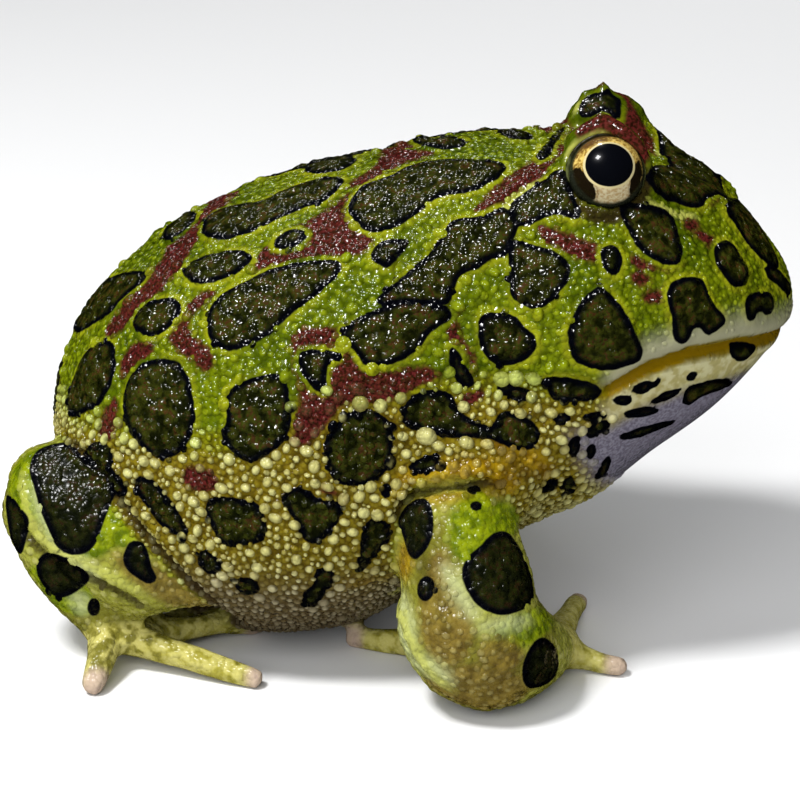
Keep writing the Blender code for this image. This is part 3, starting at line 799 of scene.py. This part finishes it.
# Belly, palms and soles rest flat on the floor.
place[:, 2] = np.maximum(place[:, 2], 0.0)
facing = normals()
x, y, z = place.T
zones = {"dark": dark, "maroon": maroon, "orange": orange, "leafy": leafy, "pale": pale, "ochre": ochre,
         "flank": flank, "belly": belly, "throat": throat, "lower_lip": lower_lip, "upper_lip": upper_lip,
         "mouth": mouth, "limb": limbs, "foot": foot, "tips": tips, "light": light, "calm": calm,
         "painted_shade": painted_shade}

skin.data.vertices.foreach_set("co", (place * MM).astype(np.float32).ravel())
skin.data.update()
for zone, values in zones.items():
    write_on(skin.data, zone, values)
skin.data.shade_smooth()


class Shade:
    """A number or colour inside a material, on which ordinary sums can be written."""

    def __init__(self, tree, socket):
        self.tree, self.socket = tree, socket

    def maths(self, kind, other=None):
        node = self.tree.nodes.new("ShaderNodeMath")
        node.operation = kind
        for slot, value in enumerate((self, other)):
            if isinstance(value, Shade):
                self.tree.links.new(value.socket, node.inputs[slot])
            elif value is not None:
                node.inputs[slot].default_value = value
        return Shade(self.tree, node.outputs[0])

    def __add__(self, other):
        return self.maths("ADD", other)

    def __sub__(self, other):
        return self.maths("SUBTRACT", other)

    def __mul__(self, other):
        return self.maths("MULTIPLY", other)

    def __rsub__(self, other):
        return (self * -1.0) + other

    def between(self, low, high):
        """0 at low and 1 at high, with a soft step."""
        node = self.tree.nodes.new("ShaderNodeMapRange")
        node.interpolation_type = "SMOOTHSTEP"
        self.tree.links.new(self.socket, node.inputs["Value"])
        node.inputs["From Min"].default_value = low
        node.inputs["From Max"].default_value = high
        return Shade(self.tree, node.outputs["Result"])

    def most(self, other):
        return self.maths("MAXIMUM", other)

    def least(self, other):
        return self.maths("MINIMUM", other)


class Paint:
    """A material's node tree, with one way to add any node."""

    def __init__(self, name):
        self.material = bpy.data.materials.new(name)
        self.material.use_nodes = True
        self.tree = self.material.node_tree
        self.shader = self.tree.nodes["Principled BSDF"]
        self.where = self.node("ShaderNodeTexCoord", None, 3)

    def node(self, kind, settings=None, output=0, **sockets):
        made = self.tree.nodes.new(kind)
        for key, value in (settings or {}).items():
            setattr(made, key, value)
        for key, value in sockets.items():
            socket = made.inputs[int(key[1:])] if key[1:].isdigit() else made.inputs[key.replace("_", " ")]
            self.feed(socket, value)
        return Shade(self.tree, made.outputs[output])

    def feed(self, socket, value):
        if isinstance(value, Shade):
            self.tree.links.new(value.socket, socket)
        elif isinstance(value, tuple) and len(value) == 3 and socket.type == "RGBA":
            socket.default_value = (*value, 1.0)
        else:
            socket.default_value = value

    def set(self, name, value):
        self.feed(self.shader.inputs[name], value)

    def part(self, name):
        return self.node("ShaderNodeAttribute", {"attribute_name": name}, 2)

    def mix(self, share, first, second):
        return self.node("ShaderNodeMix", {"data_type": "RGBA"}, 2, i0=share, i6=first, i7=second)

    def noise(self, scale, detail):
        return self.node("ShaderNodeTexNoise", Vector=self.where, Scale=scale, Detail=detail)


def skin_paint():
    """Green, maroon and near-black above, cream grains on the flank, a lilac throat and yellow toes."""
    paint = Paint("frog_skin")
    wander = (paint.noise(240.0, 2.0) - 0.5) * 1.6 + (paint.noise(950.0, 1.0) - 0.5) * 0.4
    limb = paint.part("limb")
    dark = paint.part("dark") + wander * (0.75 - limb * 0.5)
    maroon = paint.part("maroon") + wander * 1.4
    flank = paint.part("flank") + wander * 0.12
    belly = paint.part("belly")
    grain = paint.part("grain")
    tone = paint.part("tone")
    calm = paint.part("calm")
    broad = paint.noise(95.0, 2.0)
    speck = paint.noise(2300.0, 2.0)
    fleck = paint.noise(620.0, 2.0)
    cells = paint.node("ShaderNodeTexVoronoi", {"feature": "F1"}, Vector=paint.where, Scale=1250.0)
    creases = cells.between(0.25, 0.75)

    def zone(name, uneven, low, high):
        """How far a point lies inside a zone, the edge of which wanders."""
        return (paint.part(name) + wander * uneven).between(low, high)

    # The back is green, and yellow-green along the blotches.
    green = paint.mix(broad.between(0.36, 0.64), (0.056, 0.084, 0.0005), (0.110, 0.142, 0.001))
    green = paint.mix(creases * 0.5, green, (0.018, 0.030, 0.0003))
    green = paint.mix(grain * (tone * 0.5 + 0.2), green, (0.24, 0.29, 0.006))
    edging = dark.between(1.2, 0.2) * broad.between(0.35, 0.6) * 0.7
    green = paint.mix(edging, green, (0.25, 0.26, 0.006))
    # The flank has cream grains in dark gold grooves, more olive higher up and greyer below, with painted
    # shade darkening it towards the belly.
    ochre = paint.mix(fleck.between(0.4, 0.6), (0.055, 0.034, 0.001), (0.095, 0.064, 0.002))
    # Painted shade: the grooves darken towards the belly.
    groove = paint.mix(belly.between(0.0, 0.7), ochre, (0.050, 0.034, 0.010))
    cobble = (grain * 0.9 + 0.1).most((1.0 - creases) * 0.62)
    golden = paint.mix(tone, (0.19, 0.150, 0.008), (0.52, 0.50, 0.19))
    milky = paint.mix(tone, (0.13, 0.098, 0.035), (0.42, 0.38, 0.24))
    cream = paint.mix(cobble, groove, paint.mix(belly.between(0.0, 0.6), golden, milky))
    olive = paint.mix(tone, (0.21, 0.22, 0.003), (0.44, 0.50, 0.13))
    olive = paint.mix(cobble, (0.060, 0.054, 0.001), olive)
    cream = paint.mix(flank.between(1.0, 0.5), cream, olive)
    # Painted shade: the skin darkens to a dim brown towards the underside.
    cream = paint.mix(belly * belly * 0.75, cream, (0.050, 0.034, 0.018))
    ground = paint.mix(flank.between(0.2, 0.5), green, cream)
    # The limbs are pale olive, with leaf green, umber and pale bands.
    skin_of_limb = paint.mix(broad.between(0.38, 0.62), (0.140, 0.135, 0.012), (0.27, 0.28, 0.035))
    skin_of_limb = paint.mix(creases * 0.35, skin_of_limb, (0.085, 0.070, 0.006))
    skin_of_limb = paint.mix(grain * tone * 0.5, skin_of_limb, (0.44, 0.42, 0.16))
    leaf = paint.mix(fleck.between(0.35, 0.65), (0.075, 0.110, 0.0005), (0.200, 0.245, 0.002))
    skin_of_limb = paint.mix(zone("leafy", 0.15, 0.2, 0.8), skin_of_limb, leaf)
    umber = paint.mix(fleck.between(0.35, 0.65), (0.085, 0.050, 0.008), (0.175, 0.118, 0.020))
    umber = paint.mix(grain * tone * 0.45, umber, (0.36, 0.31, 0.11))
    # The umber zone is the limbs' own colour, and painted shade at the bottom of the forearm by the floor.
    skin_of_limb = paint.mix(zone("ochre", 0.1, 0.1, 0.9) * 0.85, skin_of_limb, umber)
    ground = paint.mix(limb.between(0.35, 0.65), ground, skin_of_limb)
    ground = paint.mix(paint.part("pale") * limb * 0.85, ground, (0.40, 0.43, 0.19))
    orange = paint.mix(fleck.between(0.35, 0.65), (0.150, 0.075, 0.0005), (0.31, 0.190, 0.003))
    ground = paint.mix(zone("orange", 0.12, 0.05, 1.0) * 0.8, ground, orange)
    ground = paint.mix(paint.part("light") * 0.85, ground, (0.36, 0.37, 0.07))
    # The toes, the painted shade in the creases and round the eye, the throat and the lips.
    toes = paint.mix(fleck.between(0.35, 0.60), (0.29, 0.26, 0.035), (0.46, 0.42, 0.12))
    toes = paint.mix((broad + fleck).between(0.90, 0.72) * 0.75, toes, (0.115, 0.105, 0.014))
    ground = paint.mix(paint.part("foot"), ground, toes)
    ground = paint.mix(paint.part("tips") * 0.85, ground, (0.46, 0.34, 0.28))
    # Painted shade: near-black brown in the creases, round the eye and in the shade ovals.
    ground = paint.mix(paint.part("painted_shade") * 0.92, ground, (0.022, 0.013, 0.004))
    lilac = paint.mix(speck.between(0.35, 0.65), (0.095, 0.086, 0.120), (0.18, 0.17, 0.215))
    ground = paint.mix(paint.part("throat") * 0.95, ground, lilac)
    lip = paint.mix(fleck.between(0.4, 0.6), (0.34, 0.30, 0.12), (0.48, 0.45, 0.25))
    ground = paint.mix(paint.part("lower_lip") * 0.9, ground, lip)
    ground = paint.mix(paint.part("upper_lip") * 0.9, ground, (0.29, 0.28, 0.18))
    ground = paint.mix(paint.part("mouth"), ground, (0.165, 0.098, 0.0005))
    # Maroon, and the dark blotches, which are blackest inside and mottled green at their middles.
    red = paint.mix(speck.between(0.38, 0.62), (0.018, 0.0012, 0.0022), (0.078, 0.0065, 0.009))
    in_maroon = maroon.between(1.1, 0.0) * dark.between(0.3, 1.1)
    ground = paint.mix(in_maroon * 0.95, ground, red)
    middle = paint.mix(fleck.between(0.36, 0.66), (0.004, 0.005, 0.0006), (0.028, 0.032, 0.003))
    middle = paint.mix((speck + fleck).between(1.08, 1.22) * 0.6, middle, (0.045, 0.008, 0.005))
    middle = paint.mix(grain * tone * 0.25, middle, (0.06, 0.075, 0.008))
    middle = paint.mix(limb * 0.6, middle, (0.002, 0.003, 0.001))
    blotch = paint.mix(dark.between(-0.5, -1.4), (0.0008, 0.0010, 0.0022), middle)
    ground = paint.mix(dark.between(0.12, -0.12), ground, blotch)
    paint.set("Base Color", ground)

    # The skin is wet and finely wrinkled.
    paint.set("Roughness", speck.between(0.3, 0.7) * 0.06 + 0.14 + limb * 0.09)
    paint.set("Specular IOR Level", 0.30)
    paint.set("Coat Weight", 0.0)
    loud = 1.0 - calm
    wrinkles = paint.noise(560.0, 0.0)
    folds = paint.node("ShaderNodeBump", Strength=0.9, Distance=0.0010, Height=wrinkles * loud)
    paint.set("Normal", paint.node("ShaderNodeBump", Strength=1.0, Distance=0.0003,
                                   Height=(1.0 - cells * cells) * loud, Normal=folds))
    return paint.material


skin_material = skin_paint()
skin.data.materials.append(skin_material)
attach(skin, "root")
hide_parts(*flesh)


# The grains and pearls of the skin.
# Toads' and horned frogs' backs and flanks are covered in small firm glands, packed like cobbles on the
# flank, with larger pearly ones round the blotches. Each is a low dome that grows out of the skin.
chooser = np.random.default_rng(11)
faces = np.array([tuple(p.vertices) for p in skin.data.polygons])
corners = place[faces]
area = 0.5 * np.linalg.norm(np.cross(corners[:, 2] - corners[:, 0], corners[:, 3] - corners[:, 1]), axis=1)
DOME_RINGS = ((1.0, -0.35), (0.86, 0.35), (0.48, 0.82))
CELL = 1.6
NEAR_CELLS = [(i, j, k) for i in (-1, 0, 1) for j in (-1, 0, 1) for k in (-1, 0, 1)]


def cell_of(spot):
    """The box of a coarse grid in which a place lies."""
    return tuple((spot // CELL).astype(int))


def crowded(spot, gap, taken):
    """Whether a place lies too near to one that is taken."""
    cell = cell_of(spot)
    for i, j, k in NEAR_CELLS:
        for other, other_gap in taken.get((cell[0] + i, cell[1] + j, cell[2] + k), ()):
            need = 0.5 * (gap + other_gap)
            dx, dy, dz = spot[0] - other[0], spot[1] - other[1], spot[2] - other[2]
            if dx * dx + dy * dy + dz * dz < need * need:
                return True
    return False


def scatter(wanted, spacing, tries, taken):
    """Picks places on the skin, at least a spacing apart, where wanted is high."""
    share = area * wanted[faces].mean(1)
    picks = chooser.choice(len(faces), tries, p=share / share.sum())
    s, t = chooser.random(tries), chooser.random(tries)
    c = corners[picks]
    spots = (c[:, 0] * ((1 - s) * (1 - t))[:, None] + c[:, 1] * (s * (1 - t))[:, None]
             + c[:, 2] * (s * t)[:, None] + c[:, 3] * ((1 - s) * t)[:, None])
    roots = faces[picks, np.where(s < 0.5, np.where(t < 0.5, 0, 3), np.where(t < 0.5, 1, 2))]
    kept = []
    for spot, root in zip(spots, roots):
        gap = spacing[root]
        if not crowded(spot, gap, taken):
            taken.setdefault(cell_of(spot), []).append((spot, gap))
            kept.append((spot, root, gap))
    return kept


def domes(name, kept, height, palest=0.0, sides=6):
    """Builds one mesh of low domes, which take the markings of the skin at their roots."""
    spots, roots, gaps = (np.array(column) for column in zip(*kept))
    number = len(kept)
    ways = smooth_facing[roots] * 0.5 + facing[roots] * 0.5
    ways /= np.linalg.norm(ways, axis=1)[:, None]
    side = np.cross(ways, (0.31, 0.17, 0.94))
    side /= np.linalg.norm(side, axis=1)[:, None]
    other = np.cross(ways, side)
    radius = gaps * 0.61 * chooser.uniform(0.72, 1.08, number)
    stretch = chooser.uniform(0.85, 1.2, number)
    spin = chooser.uniform(0, 2 * math.pi, number)
    tall = radius * height[roots] * chooser.uniform(0.8, 1.2, number)
    points, grain = [], []
    for wide, up in DOME_RINGS:
        for step in range(sides):
            a = spin + 2 * math.pi * step / sides
            along = side * (np.cos(a) * radius * wide * stretch)[:, None]
            athwart = other * (np.sin(a) * radius * wide / stretch)[:, None]
            points.append(spots + along + athwart + ways * (tall * up)[:, None])
            grain.append(np.full(number, max(up, 0.0)))
    points.append(spots + ways * tall[:, None])
    grain.append(np.ones(number))
    per = len(points)
    points = np.stack(points, 1).reshape(-1, 3)
    grain = np.stack(grain, 1).ravel()
    shape = []
    for ring in range(len(DOME_RINGS) - 1):
        for step in range(sides):
            a, b = ring * sides + step, ring * sides + (step + 1) % sides
            shape += [(a, b, b + sides), (a, b + sides, a + sides)]
    top = (len(DOME_RINGS) - 1) * sides
    shape += [(top + step, top + (step + 1) % sides, per - 1) for step in range(sides)]
    shape = np.array(shape)
    triangles = (np.arange(number)[:, None, None] * per + shape[None]).reshape(-1, 3)
    mesh = bpy.data.meshes.new(name)
    mesh.vertices.add(len(points))
    mesh.vertices.foreach_set("co", (points * MM).astype(np.float32).ravel())
    mesh.loops.add(triangles.size)
    mesh.loops.foreach_set("vertex_index", triangles.astype(np.int32).ravel())
    mesh.polygons.add(len(triangles))
    mesh.polygons.foreach_set("loop_start", np.arange(0, triangles.size, 3, dtype=np.int32))
    mesh.update(calc_edges=True)
    mesh.validate()
    for zone, values in zones.items():
        write_on(mesh, zone, np.repeat(values[roots], per))
    write_on(mesh, "grain", grain)
    write_on(mesh, "tone", np.repeat(chooser.uniform(palest, 1.0, number), per))
    # Each grain has its own small patch of the map, where its root lies on the unrolled skin.
    round_body = np.arctan2(spots[:, 1], spots[:, 2] - 30.0) / (2 * math.pi) + 0.5
    unrolled = 0.03 + 0.94 * np.stack([round_body, (spots[:, 0] + 60.0) / 120.0], 1)
    turn_of = 2 * math.pi * (np.arange(per) % sides) / sides
    out = np.concatenate([np.repeat([w for w, _ in DOME_RINGS], sides), [0.0]]) * 0.0015
    patch = np.stack([np.cos(turn_of) * out, np.sin(turn_of) * out], 1)
    uv = (unrolled[:, None] + patch[None]).reshape(-1, 2)[triangles.ravel()]
    mesh.uv_layers.new(name="OFBake").data.foreach_set("uv", uv.astype(np.float32).ravel())
    mesh.shade_smooth()
    mesh.materials.append(skin_material)
    piece = piece_of(name, mesh)
    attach(piece, "root")
    return piece


# Grains grow on the body, but not at the floor, the lips, the throat and the lids.
PEARL_TRIES, FLANK_TRIES, FILL_TRIES, BACK_TRIES, LIMB_TRIES = 900, 36000, 16000, 16000, 9000
body = smooth(1.0, 2.5, z) * (1 - limbs) * (1 - mouth) * (1 - throat) * (1 - on_lid)
chin = face_zone * smooth(-10.0, -7.0, above_lip) * smooth(0.5, 0.0, above_lip)
body = body * (1 - np.clip(upper_lip + chin, 0, 1))
head_share = smooth(22.0, 30.0, x) * smooth(40.0, 46.0, z)
taken = {}
near_edge = np.exp(-((dark - 1.0) / 0.5) ** 2)
pearl_zone = body * (near_edge * (0.12 + flank) + 0.12 * flank) * (1 - head_share) * (1 - belly)
pearl_zone = pearl_zone * smooth(-0.1, 0.5, dark)
# The largest pearls, over the sleeve and under the cheek: where each is seen, and its size.
NAMED_PEARLS = (
    (425, 438, 3.0), (467, 441, 2.6), (487, 446, 1.7), (503, 449, 1.6), (521, 452, 1.5), (403, 436, 1.8),
    (389, 463, 2.2), (410, 501, 2.4), (377, 515, 2.3), (400, 398, 2.0), (285, 377, 2.2), (290, 407, 2.1),
    (300, 424, 2.0), (325, 390, 1.9), (360, 405, 2.2), (358, 390, 2.4), (379, 408, 1.9), (343, 418, 1.7),
    (437, 352, 2.2), (500, 378, 2.4), (516, 377, 2.2), (533, 380, 2.0), (546, 384, 1.7), (462, 407, 1.8),
    (520, 412, 1.9), (550, 412, 2.0), (564, 403, 1.6), (545, 452, 1.9), (330, 408, 2.3), (225, 403, 2.0),
    (228, 390, 1.6), (345, 345, 2.3), (300, 385, 1.9), (312, 396, 1.7), (392, 425, 1.8), (448, 452, 1.6),
)
PEARL_SHARE = 0.88
pearls = []
skin_tree = KDTree(count)
for number, spot in enumerate(place):
    skin_tree.insert(spot, number)
skin_tree.balance()
for u, v, wide in NAMED_PEARLS:
    spot, _ = seen_at(u, v)
    wide *= PEARL_SHARE
    for here in (spot, spot * FAR_SIDE):
        spot, root, _ = skin_tree.find(here)
        spot = np.array(spot)
        taken.setdefault(cell_of(spot), []).append((spot, wide))
        pearls.append((spot, root, wide))
pearls += scatter(pearl_zone, 1.8 - 0.3 * flank, PEARL_TRIES, taken)
domes("pearls", pearls, np.full(count, 0.58), 0.55, 12)
in_dark = smooth(0.2, -0.6, dark)
gap = 0.96 + 0.12 * (1 - flank) - 0.30 * head_share + 0.15 * in_dark
low = 0.58 - 0.34 * (1 - flank) - 0.02 * head_share
flank_zone = body * flank * (1 - head_share) * (1 - 0.5 * in_dark)
flank_grains = scatter(flank_zone, gap, FLANK_TRIES, taken)
flank_grains += scatter(flank_zone, 0.62 * gap, FILL_TRIES, taken)
domes("flank_grains", flank_grains, low)
clear_edge = 1 - smooth(0.8, 0.2, dark) * smooth(-1.4, -0.8, dark)
back_zone = body * (1 - flank) * (1 - 0.85 * in_dark) * clear_edge
back_grains = scatter(back_zone, gap, BACK_TRIES, taken)
domes("back_grains", back_grains, low)
limb_zone = smooth(1.0, 2.5, z) * limbs * (1 - foot) * clear_edge * (1 - 0.7 * in_dark)
limb_grains = scatter(limb_zone, 1.25 - 0.25 * ochre, LIMB_TRIES, taken)
domes("limb_grains", limb_grains, 0.16 + 0.14 * ochre)


# The eyes.
# Each eye is a ball with a large, nearly round pupil, a thin cream ring round it, a gold iris with two brown
# patches and painted shade of the upper lid at its top, and a dark edge, which is partly painted shade of
# the lids. A wet rim of lid lies round it, with painted shade under the upper lid.
EYE_RADIUS = 5.3
PUPIL = (3.25, 3.02)
EYE_WAY = (0.139, 0.845, 0.517)
RIM_WAY = (0.10, 0.955, 0.28)
EYE_RINGS, EYE_TURNS = 44, 72
RIM_TURNS, RIM_SIDES = 96, 10


def eye_paint():
    paint = Paint("eye")
    across, up = paint.part("across"), paint.part("up")
    ripple = paint.noise(900.0, 3.0) - 0.5

    def off(middle_across, middle_up, wide, tall):
        a = (across - middle_across) * (1 / wide)
        b = (up - middle_up) * (1 / tall)
        return (a * a + b * b).maths("SQRT")

    reach = off(0.0, 0.0, 1.0, 1.0) + ripple * 0.25
    streak = paint.noise(2600.0, 2.0)
    gold = paint.mix(streak.between(0.35, 0.65), (0.20, 0.110, 0.012), (0.58, 0.42, 0.11))
    # Painted shade of the upper lid: the top of the iris is darker.
    gold = paint.mix((across * -0.5 + up + ripple * 3.0).between(3.2, 4.6), gold, (0.085, 0.040, 0.010))
    cream = paint.mix(streak.between(0.35, 0.65), (0.34, 0.24, 0.11), (0.48, 0.42, 0.26))
    iris = paint.mix((up + ripple * 2.0).between(-1.2, -2.6), gold, cream)

    def leaning(middle_across, middle_up, long, wide, lean):
        c, s = math.cos(math.radians(lean)), math.sin(math.radians(lean))
        a = ((across - middle_across) * c + (up - middle_up) * s) * (1 / long)
        b = ((up - middle_up) * c - (across - middle_across) * s) * (1 / wide)
        return (a * a + b * b).maths("SQRT") + ripple * 0.7

    patch_left = leaning(-3.75, -2.1, 2.7, 1.15, -54)
    patch_right = leaning(3.75, -1.5, 2.5, 0.8, 76)
    patch = patch_left.least(patch_right).between(1.08, 0.92)
    iris = paint.mix(patch, iris, (0.008, 0.005, 0.002))
    line = (patch_left.least(patch_right) - 1.15).maths("ABSOLUTE").between(0.12, 0.0)
    iris = paint.mix(line * 0.55, iris, (0.10, 0.05, 0.015))
    pupil = off(0.0, 0.0, *PUPIL) + ripple * 0.02
    colour = paint.mix(pupil.between(1.105, 1.07), iris, (0.50, 0.43, 0.22))
    colour = paint.mix(pupil.between(1.01, 0.98), colour, (0.0015, 0.0018, 0.003))
    # A dark edge round the iris: partly the eye's own dark edge, partly painted shade of the lids.
    colour = paint.mix(reach.between(4.6, 4.95), colour, (0.012, 0.014, 0.008))
    paint.set("Base Color", colour)
    paint.set("Roughness", 0.25)
    paint.set("Specular IOR Level", 0.06)
    paint.set("Coat Weight", 0.35)
    paint.set("Coat IOR", 1.35)
    paint.set("Coat Roughness", 0.015)
    height = streak * pupil.between(1.1, 1.2)
    paint.set("Normal", paint.node("ShaderNodeBump", Strength=0.15, Distance=0.0002, Height=height))
    return paint.material


def rim_paint():
    paint = Paint("lid_rim")
    mottle = paint.noise(900.0, 2.0)
    wet = paint.mix(mottle.between(0.35, 0.65), (0.020, 0.022, 0.006), (0.075, 0.085, 0.026))
    # Painted shade: the upper part of the rim, under the lid, is near black.
    upper = paint.mix(mottle.between(0.35, 0.65), (0.006, 0.005, 0.002), (0.018, 0.015, 0.004))
    paint.set("Base Color", paint.mix((paint.part("level") + mottle).between(2.0, 4.0), wet, upper))
    paint.set("Roughness", mottle * 0.2 + 0.20)
    paint.set("Specular IOR Level", 0.2)
    paint.set("Normal", paint.node("ShaderNodeBump", Strength=0.4, Distance=0.0003, Height=mottle))
    return paint.material


def looking(x, y, z, side):
    """A way to look on one side, and the ways up and forward that go with it."""
    y *= side
    ahead = np.array([x, y, z]) / math.sqrt(x * x + y * y + z * z)
    up_way = np.array([0.0, 0.0, 1.0]) - ahead * ahead[2]
    up_way /= np.linalg.norm(up_way)
    front_way = np.cross(up_way, ahead) * -side
    return ahead, up_way, front_way / np.linalg.norm(front_way)


eye_material = eye_paint()
rim_material = rim_paint()
for side, side_name in ((-1, "right"), (1, "left")):
    middle = np.array(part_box("eye_" + side_name)).reshape(2, 3).mean(0) / MM
    gaze, up_way, front_way = looking(*EYE_WAY, side)
    verts, faces_of_eye, across, ups = [], [], [], []
    for ring in range(EYE_RINGS + 1):
        a = math.pi * ring / EYE_RINGS
        for step in range(EYE_TURNS if 0 < ring < EYE_RINGS else 1):
            b = 2 * math.pi * step / EYE_TURNS
            bulge = 1.0 + 0.035 * max(0.0, math.cos(a) - 0.62) / 0.38
            s, t = math.sin(a) * math.cos(b), math.sin(a) * math.sin(b)
            way = gaze * math.cos(a) + front_way * s + up_way * t
            verts.append((middle + EYE_RADIUS * bulge * way) * MM)
            across.append(EYE_RADIUS * s)
            ups.append(EYE_RADIUS * t)
    for step in range(EYE_TURNS):
        after = (step + 1) % EYE_TURNS
        faces_of_eye.append((0, 1 + step, 1 + after))
        for ring in range(EYE_RINGS - 2):
            a = 1 + ring * EYE_TURNS
            b = a + EYE_TURNS
            faces_of_eye.append((a + step, b + step, b + after, a + after))
        last = 1 + (EYE_RINGS - 2) * EYE_TURNS
        faces_of_eye.append((last + step, len(verts) - 1, last + after))
    mesh = bpy.data.meshes.new("eyeball_" + side_name)
    mesh.from_pydata(verts, [], faces_of_eye)
    write_on(mesh, "across", across)
    write_on(mesh, "up", ups)
    outward(mesh)
    mesh.shade_smooth()
    mesh.materials.append(eye_material)
    eyeball = piece_of("eyeball_" + side_name, mesh)
    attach(eyeball, "root")
    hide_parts("eye_" + side_name)

    # The rim of the lids: thin above, where it is painted near black as shade under the lid, and thicker,
    # dark and wet below.
    gaze, up_way, front_way = looking(*RIM_WAY, side)
    verts, faces_of_rim = [], []
    for step in range(RIM_TURNS):
        b = 2 * math.pi * step / RIM_TURNS
        low_share = max(0.0, -math.sin(b))
        thick = 0.32 + 0.36 * low_share
        tilt = math.radians(84.0 + 3.0 * low_share)
        out_way = front_way * math.cos(b) + up_way * math.sin(b)
        centre = middle + (EYE_RADIUS + 0.12) * (gaze * math.cos(tilt) + out_way * math.sin(tilt))
        here, ahead = step * RIM_SIDES, (step + 1) % RIM_TURNS * RIM_SIDES
        for k in range(RIM_SIDES):
            c = 2 * math.pi * k / RIM_SIDES
            verts.append((centre + thick * (out_way * math.cos(c) + gaze * math.sin(c))) * MM)
            after = (k + 1) % RIM_SIDES
            faces_of_rim.append((here + k, ahead + k, ahead + after, here + after))
    mesh = bpy.data.meshes.new("lid_rim_" + side_name)
    mesh.from_pydata(verts, [], faces_of_rim)
    outward(mesh)
    write_on(mesh, "level", [(vert / MM - middle) @ up_way for vert in verts])
    mesh.shade_smooth()
    mesh.materials.append(rim_material)
    rim = piece_of("lid_rim_" + side_name, mesh)
    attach(rim, "root")


bpy.context.view_layer.update()
